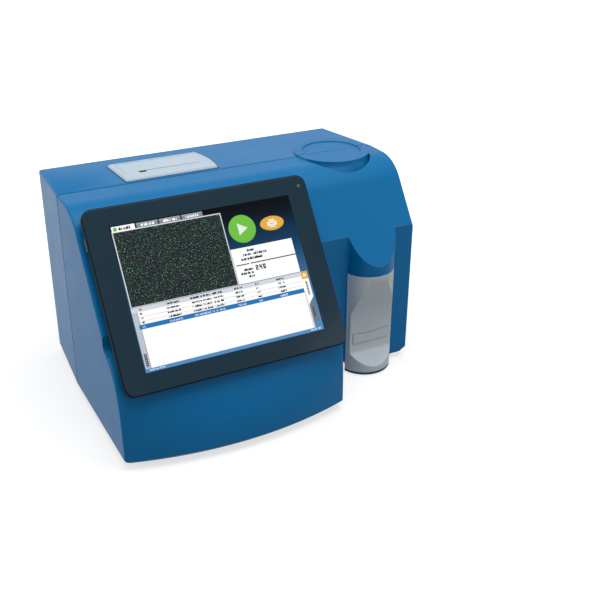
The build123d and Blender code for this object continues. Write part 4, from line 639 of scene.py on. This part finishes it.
def circuit(name, node, board_low, track, sink_half=0.0):
    """Circuit board in green solder resist with tracks and pads. Parts above and below it are black, and a
    heat sink at its middle is bare metal."""
    place = start_finish(name)
    away, _ = from_middle(place, node)
    layout = {"offset": 0.37, "squash": 0.6, "squash_frequency": 3}
    bricks = {
        "Vector": place, "Scale": 1 / track, "Mortar Size": 0.05, "Mortar Smooth": 0.2,
        "Brick Width": 0.9, "Row Height": 0.22,
    }
    tracks = place.add("ShaderNodeTexBrick", layout, bricks, "Fac")
    spots = {"Vector": place, "Scale": 2.2 / track}
    pads = place.add("ShaderNodeTexVoronoi", {}, spots, "Distance") < 0.16
    clouds = noise(place, 0.01, 3.0)
    resist = blend(clouds, (0.006, 0.07, 0.03), (0.012, 0.11, 0.05))
    board = blend(pads, blend(tracks * 0.6, resist, (0.03, 0.2, 0.08)), (0.6, 0.58, 0.5))
    raised = 1 - place.axis("Z").between(board_low - 0.0001, board_low + board_thickness + 0.0001)
    metal = (abs(away.axis("X")) < sink_half) * (abs(away.axis("Y")) < sink_half)
    parts = blend(metal, (0.018, 0.018, 0.02), (0.5, 0.5, 0.52))
    return end_finish(place, {
        "Base Color": blend(raised, board, parts),
        "Metallic": raised * metal * 0.9 + (1 - raised) * pads * 0.8,
        "Roughness": 0.38 + 0.15 * clouds,
        "Normal": relief(place, tracks + pads, 0.00003),
    })


camera_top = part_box("camera_board")[1].z
camera_circuit = circuit("camera_circuit", "camera_board", camera_top - board_thickness, track=0.006)
dressed("camera_board", "board", camera_circuit)

# Tablet bracket: a flat plate frame in black glass-filled plastic on the slope, with four screws through the
# front cover whose heads are inside.
plain_black = (0.014, 0.014, 0.015)
black_finish = moulded(
    "black_moulding", plain_black, roughness=0.48, grain=(0.0004, 0.00002), edge_wear_and_shade=0.05, specular=0.3
)
dressed("tablet_bracket", "black_plastic", black_finish, edge=0.0003)
slope = math.radians(55.5)
up_slope = Vector((0, math.cos(slope), math.sin(slope)))
into_slope = Vector((0, math.sin(slope), -math.cos(slope)))
screw_group("bracket_screws", into_slope)

# Tablet shell and trim: a soft-touch black back with a rounded belly, and a thin dark anodised band that
# runs round the tablet between the shell and the glass.
shell_finish = moulded(
    "soft_touch_shell", (0.01, 0.018, 0.026), roughness=0.62, grain=(0.0003, 0.00001), edge_wear_and_shade=0.02,
    specular=0.1,
)
dressed("tablet_back_shell", "tablet_shell", shell_finish, edge=0.0004)
trim_finish = moulded(
    "dark_anodised_band", (0.002, 0.009, 0.015), roughness=0.6, grain=(0.0003, 0.000004), edge_wear_and_shade=0.0,
    specular=0.1,
)
dressed("tablet_trim", "trim", trim_finish)


# Tablet glass: chemically toughened glass, printed charcoal on its back round the display, with ground and
# softened edges and the faint grease of fingers on its face.
def printed_glass(name, colour, roughness):
    """Glass over a dark print: a deep colour under a clear gloss that finger marks dull in places."""
    place = start_finish(name)
    fingers = noise(place, 0.016, 5.0)
    wiped = noise(stretched(place, 1.0, 0.3, 0.3), 0.01, 3.0)
    return end_finish(place, {
        "Base Color": blend(fingers, colour, times(colour, 1.25)),
        "Roughness": roughness + 0.1 * fingers * wiped,
        "Specular IOR Level": 0.15,
        "Coat Weight": 0.1 * wiped,
        "Coat Roughness": 0.05,
    })


dressed("tablet_glass", "bezel", printed_glass("charcoal_printed_glass", (0.003, 0.02, 0.034), 0.12))

# Display: the lit panel under the glass, level with it. It shows the counter's page: tabs, the picture of
# the stained cells, a start and a print button, the result, a table of counts and a status bar.
screen_height = 147.8
picture_right, table_top = 117.0, 83.3


def screen_mesh():
    """The display's own slab, with a UV map in millimetres across and down its face. It is parted along the
    page's two main lines, so that each field has a finish of its own."""
    shape = cad_shape("tablet_display")
    clear_flats(shape)
    across, down = Vector((1, 0, 0)), -up_slope
    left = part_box("tablet_display")[0].x
    top = min(vert.co.dot(down) for vert in shape.verts)
    page = shape.loops.layers.uv.new("page")
    for face in shape.faces:
        for loop in face.loops:
            place = loop.vert.co
            loop[page].uv = ((place.x - left) * 1000, (place.dot(down) - top) * 1000)
    for line, facing in (
        (across * (left + picture_right / 1000), across),
        (down * (top + table_top / 1000), down),
    ):
        everything = [*shape.verts, *shape.edges, *shape.faces]
        bmesh.ops.bisect_plane(shape, geom=everything, plane_co=line, plane_no=facing)
    for face in shape.faces:
        place = face.calc_center_median()
        if (place.dot(down) - top) * 1000 > table_top:
            face.material_index = 2
        elif (place.x - left) * 1000 > picture_right:
            face.material_index = 1
    return shape


class Page:
    """The picture on the display, laid down from back to front in millimetres from its upper left corner."""

    sky = [
        (0.0, (0.001, 0.002, 0.003)),
        (0.1, (0.002, 0.006, 0.012)),
        (0.34, (0.006, 0.05, 0.12)),
        (0.62, (0.045, 0.16, 0.33)),
        (1.0, (0.08, 0.26, 0.55)),
    ]

    def __init__(self, name):
        self.place = start_finish(name)
        page = self.place.add("ShaderNodeUVMap", {"uv_map": "page"}, {}, "UV")
        self.x, self.y = map(page.axis, "XY")
        self.colour = page.add("ShaderNodeValToRGB", {"stops": self.sky}, {"Fac": self.y / screen_height})

    def light(self):
        """Closes the finish: the picture glows through smooth glass that finger marks dull in places."""
        grease = noise(self.place, 0.02, 4.0)
        return end_finish(self.place, {
            "Base Color": (0.001, 0.001, 0.0015, 1.0),
            "Roughness": 0.14 + 0.08 * grease,
            "Emission Color": self.colour,
            "Emission Strength": 1.0,
            "Specular IOR Level": 0.05,
        })

    def inside(self, left, top, right, bottom):
        return self.x.between(left, right) * self.y.between(top, bottom)

    def lay(self, mask, colour):
        self.colour = blend(mask, self.colour, colour)

    def patch(self, left, top, right, bottom, colour):
        self.lay(self.inside(left, top, right, bottom), colour)

    def oval(self, x, y, wide, tall, colour):
        self.lay(distance((self.x - x) / wide, (self.y - y) / tall) < 1.0, colour)

    def dashes(self, per_millimetre, filled):
        """Level dashes, one below the other."""
        return (self.y * per_millimetre).maths("FRACT") < filled

    def strokes(self, top, tall, seed, filled=0.74):
        """Short upright strokes of uneven height along a line."""
        column = (self.x * 2.1).maths("FLOOR") + seed
        kept, grown = (
            lot.add("ShaderNodeTexWhiteNoise", {"noise_dimensions": "1D"}, {"W": lot}, "Value")
            for lot in (column, column + 0.5)
        )
        return (self.y > top + tall * 0.3 * (grown < 0.65)) * (self.y < top + tall) * (kept < filled)

    def word(self, left, top, right, bottom, colour, seed, filled=0.74):
        """A word of such strokes."""
        strokes = self.strokes(top, bottom - top, seed * 31.7, filled)
        self.lay(self.x.between(left, right) * strokes, colour)

    def numeral(self, left, top, tall, bars, colour):
        """One plain numeral built from straight bars, named by their places round the figure."""
        wide, thick = tall * 0.56, tall * 0.24
        middle, bottom, right = top + tall / 2, top + tall, left + wide
        places = {
            "top": (left, top, right, top + thick),
            "middle": (left, middle - thick / 2, right, middle + thick / 2),
            "bottom": (left, bottom - thick, right, bottom),
            "upper_left": (left, top, left + thick, middle),
            "upper_right": (right - thick, top, right, middle),
            "lower_left": (left, middle, left + thick, bottom),
            "lower_right": (right - thick, middle, right, bottom),
        }
        self.lay(sum(self.inside(*places[bar]) for bar in bars), colour)


page_white = (1.0, 1.0, 1.0)
ink = (0.02, 0.03, 0.05)
button_green = (0.17, 0.53, 0.06)
button_orange = (0.78, 0.43, 0.06)

# The cells: a dark field with faint specks, and the stained cells as small green and pale dots. Above them
# are the page's tabs.
page = Page("lit_page_cells")
page.patch(0.8, 5.9, 116.6, 83.2, (0.7, 0.72, 0.74))
field = page.x.add("ShaderNodeCombineXYZ", {}, {"X": page.x, "Y": page.y})
murk = noise(field, 1.5, 4.0)
haze = noise(field, 22.0)
picture = blend((murk - 0.42) * 5.5, (0.003, 0.004, 0.006), (0.046, 0.054, 0.06))
picture = blend((haze - 0.4) * 0.5, picture, (0.012, 0.035, 0.026))
stains = (
    (1.0, 0.28, 0.27, (0.03, 0.24, 0.09)),
    (1.3, 0.2, 0.22, (0.3, 0.4, 0.34)),
    (1.9, 0.34, 0.21, (0.08, 0.55, 0.19)),
)
for size, share, reach, colour in stains:
    dots = {"Vector": field, "Scale": 1 / size}
    away = field.add("ShaderNodeTexVoronoi", {}, dots, "Distance")
    lot = field.add("ShaderNodeTexVoronoi", {}, dots, "Color")
    picture = blend((away < reach) * (lot.axis("X") < share), picture, colour)
page.patch(1.9, 7.0, 115.6, 82.6, picture)
page.patch(1.4, 0.8, 25.4, 6.4, page_white)
page.oval(5.0, 3.7, 2.1, 2.1, button_green)
page.word(8.6, 2.0, 20.5, 5.2, ink, seed=1)
for number, left in enumerate((27.0, 51.0, 75.0)):
    right = left + 22.6
    page.patch(left, 1.0, right, 5.9, (0.23, 0.26, 0.31))
    page.patch(left, 1.0, right, 2.6, (0.33, 0.36, 0.4))
    page.word(left + 4.0, 2.2, right - 4.0, 4.9, page_white, seed=number + 2)
cells_page = page.light()

# The two buttons, with a start sign in green and a sheet in orange, and the result under them: a white panel
# with two groups of lines, and a count in plain numerals.
page = Page("lit_page_result")
page.oval(136.0, 26.6, 15.2, 15.0, (0.11, 0.36, 0.04))
page.oval(136.0, 26.4, 14.7, 14.4, button_green)
start_left, start_middle, start_half = 131.5, 26.4, 6.4
start_sign = (page.x - start_left) * 0.6 + abs(page.y - start_middle) < start_half
page.lay((page.x > start_left) * start_sign, (0.8, 0.87, 0.76))
page.oval(170.4, 26.4, 13.8, 7.7, (0.6, 0.31, 0.035))
page.oval(170.4, 26.2, 13.2, 7.2, button_orange)
sheet = page.inside(164.8, 24.6, 176.0, 29.0) + page.inside(167.2, 22.2, 173.6, 24.2)
page.lay(sheet + page.inside(167.2, 29.6, 173.6, 30.8), (0.9, 0.85, 0.72))
page.patch(167.6, 26.4, 173.2, 27.2, button_orange)
page.patch(117.0, 46.0, 187.6, 83.0, page_white)
lines = ((48.2, 134.0, 143.0), (52.4, 129.0, 156.0), (56.8, 126.0, 150.0))
lines += ((67.8, 126.0, 136.5), (71.4, 122.0, 136.5), (75.2, 130.0, 136.5))
for row, (top, left, right) in enumerate(lines):
    page.word(left, top, right, top + 2.7, ink, seed=row + 7, filled=0.82)
page.numeral(139.6, 66.6, 5.2, ("top", "upper_right", "middle", "lower_left", "bottom"), ink)
page.numeral(143.8, 66.6, 5.2, ("upper_left", "upper_right", "middle", "lower_right"), ink)
round_bars = ("top", "upper_left", "upper_right", "lower_left", "lower_right", "bottom")
page.numeral(148.0, 66.6, 5.2, round_bars, ink)
page.lay(page.inside(119.0, 63.0, 133.6, 64.1) + page.inside(135.4, 63.0, 187.6, 64.1), ink)
result_page = page.light()

# The table: a grey strip down its left side, a heading, three rows and the row that is chosen, and below it
# the status bar.
page = Page("lit_page_table")
table_left, table_right, strip_right = 0.5, 188.0, 6.4
heading_top, heading_bottom, table_bottom = 83.6, 88.2, 144.2
page.patch(table_left, heading_top, table_right, table_bottom, page_white)
page.patch(table_left, heading_top, table_right, heading_bottom, (0.66, 0.69, 0.74))
page.patch(table_left, heading_bottom, strip_right, table_bottom, (0.52, 0.55, 0.6))
page.patch(strip_right - 0.5, heading_bottom, strip_right, table_bottom, (0.25, 0.27, 0.3))
page.patch(table_left, heading_top - 0.6, table_right, heading_top, (0.12, 0.13, 0.16))
page.lay(page.inside(1.9, 129.5, 4.9, 142.5) * page.dashes(0.55, 0.72), ink)
row_pitch, first_row = 4.4, 84.8
row = ((page.y - first_row) / row_pitch).maths("FLOOR")
row_top = first_row + row * row_pitch
columns = ((8, 11), (36, 50), (62, 84), (86, 97), (110, 119), (134, 138), (158, 167))
written = sum(page.x.between(start, end) for start, end in columns)
written = written * page.strokes(row_top, 2.1, row * 53.7) * (row > -0.5)
page.lay(written * (row < 3.5), ink)
rule = (page.y - row_top > row_pitch - 0.3) * row.between(0.5, 2.5)
page.lay(rule * page.x.between(strip_right, 186.0), (0.5, 0.45, 0.35))
page.patch(4.6, 101.0, 186.4, 105.6, (0.02, 0.18, 0.48))
page.lay(written * row.between(3.5, 4.5), (0.55, 0.68, 0.82))
page.patch(185.8, 105.6, table_right, table_bottom, (0.66, 0.68, 0.73))
page.patch(table_left, table_bottom, 197.0, 147.5, (0.09, 0.27, 0.56))
for start, end, seed in ((4.0, 20.0, 90), (182.0, 194.0, 91)):
    page.word(start, 144.9, end, 146.6, (0.6, 0.72, 0.85), seed)

# The upright tabs at the table's right: orange, then white with a slanted foot, then grey.
page.patch(187.4, 83.4, 195.0, 91.6, button_orange)
page.patch(189.4, 85.6, 193.0, 89.4, (0.9, 0.78, 0.5))
slant = (page.x - 188.0) * 1.1
page.lay(page.inside(187.4, 91.6, 194.8, 121.0) * (page.y < 119.0 - slant), page_white)
grey_tab = (page.y > 120.4 - slant) * (page.y < 140.0 - slant * 0.4)
page.lay(page.inside(188.0, 114.0, 194.8, 140.0) * grey_tab, (0.17, 0.19, 0.23))
page.lay(page.inside(190.0, 94.0, 192.2, 109.0) * page.dashes(0.6, 0.68), ink)
page.lay(page.inside(190.2, 122.0, 192.2, 133.0) * page.dashes(0.6, 0.65), (0.03, 0.035, 0.045))
finish_piece(
    "tablet_display_page", screen_mesh(), "tablet_display", "display", cells_page, result_page, page.light()
)


# Front camera: a small coated lens behind the glass, in the plane of the slope. Its pupil is painted
# faintly blue, as the reflection on its coating, in a dark ring.
def pupil_with_painted_reflection():
    """Coated glass pupil, painted faintly blue as the reflection on its coating, in a dark ring."""
    place = start_finish("camera_pupil_painted_reflection")
    away, _ = from_middle(place, "tablet_camera_lens")
    up = place.add("ShaderNodeVectorMath", {"operation": "DOT_PRODUCT"}, {0: away, 1: up_slope}, "Value")
    ring = distance(away.axis("X"), up).between(0.0009, 0.0016)
    return end_finish(place, {
        "Base Color": blend(ring, (0.05, 0.09, 0.125), (0.012, 0.024, 0.036)),
        "Roughness": 0.08 + 0.1 * noise(place, 0.001),
        "Coat Weight": 0.6,
    })


dressed("tablet_camera_lens", "lens", pupil_with_painted_reflection(), edge=0.0001)

# Tablet keys: volume rocker on the left edge and power key on the upper edge, in dark satin plastic. They
# stand 0.9 mm proud and click in by 0.4 mm.
key_finish = moulded(
    "dark_satin_keys", (0.03, 0.038, 0.045), roughness=0.34, grain=(0.0003, 0.000008), edge_wear_and_shade=0.12,
    specular=0.4,
)
dressed("tablet_volume_rocker", "key", key_finish)
dressed("tablet_power_key", "key", key_finish)

# Printer panel, lid and latch: a light grey-blue moulding let into the rear housing's top. The paper comes
# out of the slit, and the lid behind it swings up on two pins once the small black button lets it go.
well_x, well_y = (-0.0903, -0.0823), (0.0624, 0.0684)
lamp_holes, lamp_radius = ((-0.0935, 0.1009), (-0.0825, 0.0863)), 0.0009
panel_fall, foot_top, bevel_top, bevel_back = 0.0563, 0.24245, 0.2442, 0.0455


def panel_shades(place):
    """Painted shade: black round the latch for the well it sits in, two dark dots for two small lamp holes,
    and shade at the panel's foot and on its front bevel.
    """
    x, y, z = map(place.axis, "XYZ")
    shades = x.between(*well_x) * y.between(*well_y)
    for lamp_x, lamp_y in lamp_holes:
        shades = shades + (distance(x - lamp_x, y - lamp_y) < lamp_radius) * 0.45
    level = z + panel_fall * y
    return shades | (level < foot_top) * 0.36 | (level < bevel_top) * (y < bevel_back) * 0.1


# The panel's grey is painted with shade round the latch, at two dots, at its foot and on its front bevel.
panel_finish = moulded(
    "pale_grey_moulding", (0.38, 0.467, 0.548), roughness=0.38, grain=(0.0005, 0.000015), edge_wear_and_shade=0.1,
    specular=0.2, shades=panel_shades,
)
dressed("printer_bezel", "panel", panel_finish, edge=0.0003)
dressed("printer_lid", "panel", panel_finish, edge=0.00015)
latch_finish = moulded(
    "matt_black_latch", (0.003, 0.003, 0.004), roughness=0.6, grain=(0.0003, 0.00001), edge_wear_and_shade=0.0,
    specular=0.05,
)
dressed("printer_latch_button", "black_plastic", latch_finish)

# Platen, print head, bucket and paper: the rubber platen turns in the lid's ears against the heated edge of
# the print head, and draws the paper off the roll that lies loose in the bucket.
platen_rubber = rubbery("platen_rubber", (0.03, 0.03, 0.031), roughness=0.6)
dressed("platen_roller", "rubber", platen_rubber, edge=0.00015)


def heated_edge():
    """Aluminium block whose face towards the platen is dark ceramic with a brown heating line."""
    place = start_finish("print_head_edge")
    back_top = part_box("print_head")[1]
    ceramic = place.axis("Y") > back_top.y - 0.002
    line = place.axis("Z").between(back_top.z - 0.003, back_top.z - 0.002)
    clouds = noise(place, 0.004, 3.0)
    body = blend(clouds, (0.4, 0.4, 0.41), (0.55, 0.55, 0.56))
    face = blend(line, (0.05, 0.045, 0.04), (0.3, 0.14, 0.04))
    return end_finish(place, {
        "Base Color": blend(ceramic, body, face),
        "Metallic": 1 - ceramic,
        "Roughness": 0.34 + 0.12 * clouds,
        "Normal": relief(place, clouds, 0.00001),
    })


dressed("print_head", "motor", heated_edge())
dressed("paper_bucket", "black_plastic", black_finish, edge=0.0003)


def wound_paper():
    """Thermal paper: a smooth white face, and hundreds of fine turns on the roll's two ends."""
    place = start_finish("wound_paper")
    away, size = from_middle(place, "paper_roll")
    x, y, z = map(away.axis, "XYZ")
    radius = distance(y, z)
    end = abs(x) > size.x / 2 - 0.0004
    turns = ripple(radius * 11000.0)
    core = radius < 0.0075
    fibres = noise(place, 0.0005, 4.0)
    paper = blend(fibres, (0.82, 0.82, 0.8), (0.88, 0.88, 0.865))
    paper = blend(end * turns * 0.5, paper, (0.55, 0.55, 0.54))
    return end_finish(place, {
        "Base Color": blend(end * core, paper, (0.35, 0.24, 0.14)),
        "Roughness": 0.62 + 0.1 * fibres,
        "Normal": relief(place, fibres * 0.3 + end * turns, 0.00003),
    })


dressed("paper_roll", "paper", wound_paper())

# Rear panel: a plated steel sheet behind the window in the rear wall, punched for the mains inlet, the
# switch and the sockets, and held by four pan-head screws.
panel_steel = plated("rear_panel_plating", (0.5, 0.51, 0.525), roughness=0.38, streak=0.14)
dressed("rear_panel", "steel", panel_steel)
screw_group("panel_screws", Vector((0, 1, 0)))


# Mains inlet and switch: a snap-in inlet in black plastic with three plated blades, and a rocker switch that
# tips in its own frame on a cross pin.
def inlet_finish():
    """Black plastic with bright plated blades inside the mouth."""
    place = start_finish("mains_inlet_plastic")
    away, size = from_middle(place, "power_inlet")
    x, y, z = map(away.axis, "XYZ")
    blade_places = ((-0.007, -0.0015), (0.0, 0.0025), (0.007, -0.0015))
    half_wide, half_tall, root, tip = 0.0012, 0.0022, 0.0168, 0.003
    blades = sum((abs(x - right) < half_wide) * (abs(z - up) < half_tall) for right, up in blade_places)
    blades = blades * y.between(size.y / 2 - root, size.y / 2 - tip)
    clouds = noise(place, 0.01, 3.0)
    plastic = blend(clouds, (0.012, 0.012, 0.013), (0.022, 0.022, 0.023))
    return end_finish(place, {
        "Base Color": blend(blades, plastic, (0.66, 0.64, 0.58)),
        "Metallic": blades,
        "Roughness": 0.46 - 0.2 * blades + 0.08 * (clouds - 0.5),
        "Normal": relief(place, noise(place, 0.0004, 3.0), 0.000015),
    })


dressed("power_inlet", "black_plastic", inlet_finish())
dressed("rocker_frame", "black_plastic", black_finish)


def rocker_finish():
    """Glossy black rocker with the moulded line and ring that mark its two ends."""
    place = start_finish("rocker_gloss")
    away, _ = from_middle(place, "rocker_switch")
    x, z = map(away.axis, "XZ")
    line = (abs(x) < 0.0004) * z.between(0.003, 0.0062)
    mark = line + distance(x, z + 0.0046).between(0.0011, 0.0018)
    clouds = noise(place, 0.004, 3.0)
    plastic = blend(clouds, (0.01, 0.01, 0.011), (0.018, 0.018, 0.019))
    return end_finish(place, {
        "Base Color": blend(mark, plastic, (0.75, 0.75, 0.75)),
        "Roughness": 0.26 + 0.12 * clouds,
        "Normal": relief(place, mark, 0.00008),
    })


dressed("rocker_switch", "black_plastic", rocker_finish())


# Sockets: one network socket and two serial-bus sockets in folded, nickel-plated shells, soldered to the
# main board's edge and looking out through the rear panel.
def socket_shell(name, node, sunk):
    """Nickel-plated shell, with black contact carriers and gold contacts inside its mouth."""
    place = start_finish(name)
    low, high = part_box(node)
    x, y, z = map(place.axis, "XYZ")
    wall, lip = 0.0009, 0.0005
    inner = y.between(high.y - sunk, high.y - lip) * z.between(low.z + wall, high.z - wall)
    inner = inner * x.between(low.x + wall, high.x - wall)
    contact = ((x * 5600.0).maths("SINE") > 0.2) * inner * (z > (low.z + high.z) / 2)
    clouds = noise(place, 0.005, 3.0)
    nickel = blend(clouds, (0.55, 0.55, 0.54), (0.68, 0.68, 0.66))
    shade = blend(inner, nickel, (0.012, 0.012, 0.013))
    return end_finish(place, {
        "Base Color": blend(contact, shade, (0.75, 0.55, 0.2)),
        "Metallic": 1 - inner * (1 - contact),
        "Roughness": 0.28 + 0.14 * clouds,
        "Normal": relief(place, clouds, 0.000008),
    })


network_shell = socket_shell("network_shell", "lan_socket", sunk=0.013)
dressed("lan_socket", "socket_steel", network_shell, edge=0.00015)
serial_bus_shells = socket_shell("serial_bus_shells", "usb_sockets", sunk=0.011)
dressed("usb_sockets", "socket_steel", serial_bus_shells, edge=0.00012)

# Fan and guard: a 60 mm axial fan in black plastic behind the rear wall, and a pressed and plated finger
# guard outside it. Four long screws go through both.
fan_finish = moulded("fan_plastic", plain_black, roughness=0.4, grain=(0.0004, 0.00001), edge_wear_and_shade=0.1)
dressed("fan_frame", "black_plastic", fan_finish)
dressed("fan_rotor", "black_plastic", fan_finish, edge=0.00015)
guard_plating = plated("guard_plating", (0.42, 0.43, 0.44), roughness=0.32, streak=0.08)
dressed("fan_guard", "steel", guard_plating, edge=0.0003)
screw_group("guard_screws", Vector((0, 1, 0)))

# Main board and power supply: the counter's circuit board on four standoffs, with a finned heat sink, and
# the folded, plated case of the power supply behind it. Both are inside and hidden in use.
main_board_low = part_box("main_board")[0].z
main_circuit = circuit("main_circuit", "main_board", main_board_low, track=0.012, sink_half=0.021)
dressed("main_board", "board", main_circuit)
case_plating = plated("supply_case_plating", (0.58, 0.59, 0.6), roughness=0.36, streak=0.15)
dressed("power_supply", "steel", case_plating, edge=0.0003)


# Bench and light: a plain pale bench that fades into a white room, one large soft box overhead and a little
# in front, and two weak ones at the left and at the right.
def looked_at(wire):
    """1 for what is seen straight, in gloss or through clear plastic, and 0 for light on the object."""
    seen, mirrored, through = (
        wire.add("ShaderNodeLightPath", {}, {}, ray)
        for ray in ("Is Camera Ray", "Is Glossy Ray", "Is Transmission Ray")
    )
    return seen | mirrored | through


bench_shape = bmesh.new()
bmesh.ops.create_grid(bench_shape, x_segments=1, y_segments=1, size=14.0)
bench_mesh = bpy.data.meshes.new("bench")
bench_shape.to_mesh(bench_mesh)
bench_shape.free()
bench = bpy.data.objects.new("bench", bench_mesh)
bpy.context.scene.collection.objects.link(bench)

white = (1.0, 1.0, 1.0, 1.0)
fade_from, fade_over, near_level, room_level = 0.3, 0.5, 0.68, 0.32
place = start_finish("pale_bench")
away = distance(*map(place.axis, "XY"))
far = place.add("ShaderNodeClamp", {}, {"Value": (away - fade_from) / fade_over}, "Result")
lift = looked_at(place) * (near_level + (1 - near_level) * far)
bench_paint = place.add("ShaderNodeBsdfDiffuse", {}, {"Color": (0.36, 0.36, 0.36, 1.0)})
bench_lift = place.add("ShaderNodeEmission", {}, {"Color": white, "Strength": lift})
bench_whole = place.add("ShaderNodeAddShader", {}, {0: bench_paint, 1: bench_lift})
place.add("ShaderNodeOutputMaterial", {}, {"Surface": bench_whole})
bench_mesh.materials.append(place.finish)

room = bpy.data.worlds.new("white_room")
bpy.context.scene.world = room
room.use_nodes = True
room.node_tree.nodes.clear()
walls = Wire(room)
level = room_level + (1 - room_level) * looked_at(walls)
room_light = walls.add("ShaderNodeBackground", {}, {"Color": white, "Strength": level})
walls.add("ShaderNodeOutputWorld", {}, {"Surface": room_light})


def soft_box(name, place, aim, size, watts):
    """Square soft box, turned towards a point."""
    data = bpy.data.lights.new(name, "AREA")
    data.shape = "SQUARE"
    data.size = size
    data.energy = watts
    lamp = bpy.data.objects.new(name, data)
    lamp.location = place
    lamp.rotation_euler = (Vector(aim) - Vector(place)).to_track_quat("-Z", "Y").to_euler()
    bpy.context.scene.collection.objects.link(lamp)


soft_box("soft_box_overhead", (0.05, -0.25, 1.75), (0.0, 0.0, 0.1), size=1.5, watts=29.0)
soft_box("soft_box_left", (-1.7, 0.5, 0.8), (0.0, 0.0, 0.12), size=1.2, watts=9.0)
soft_box("soft_box_right", (1.3, -1.4, 0.7), (0.0, 0.0, 0.12), size=1.0, watts=5.0)
bpy.context.scene.view_settings.view_transform = "Standard"
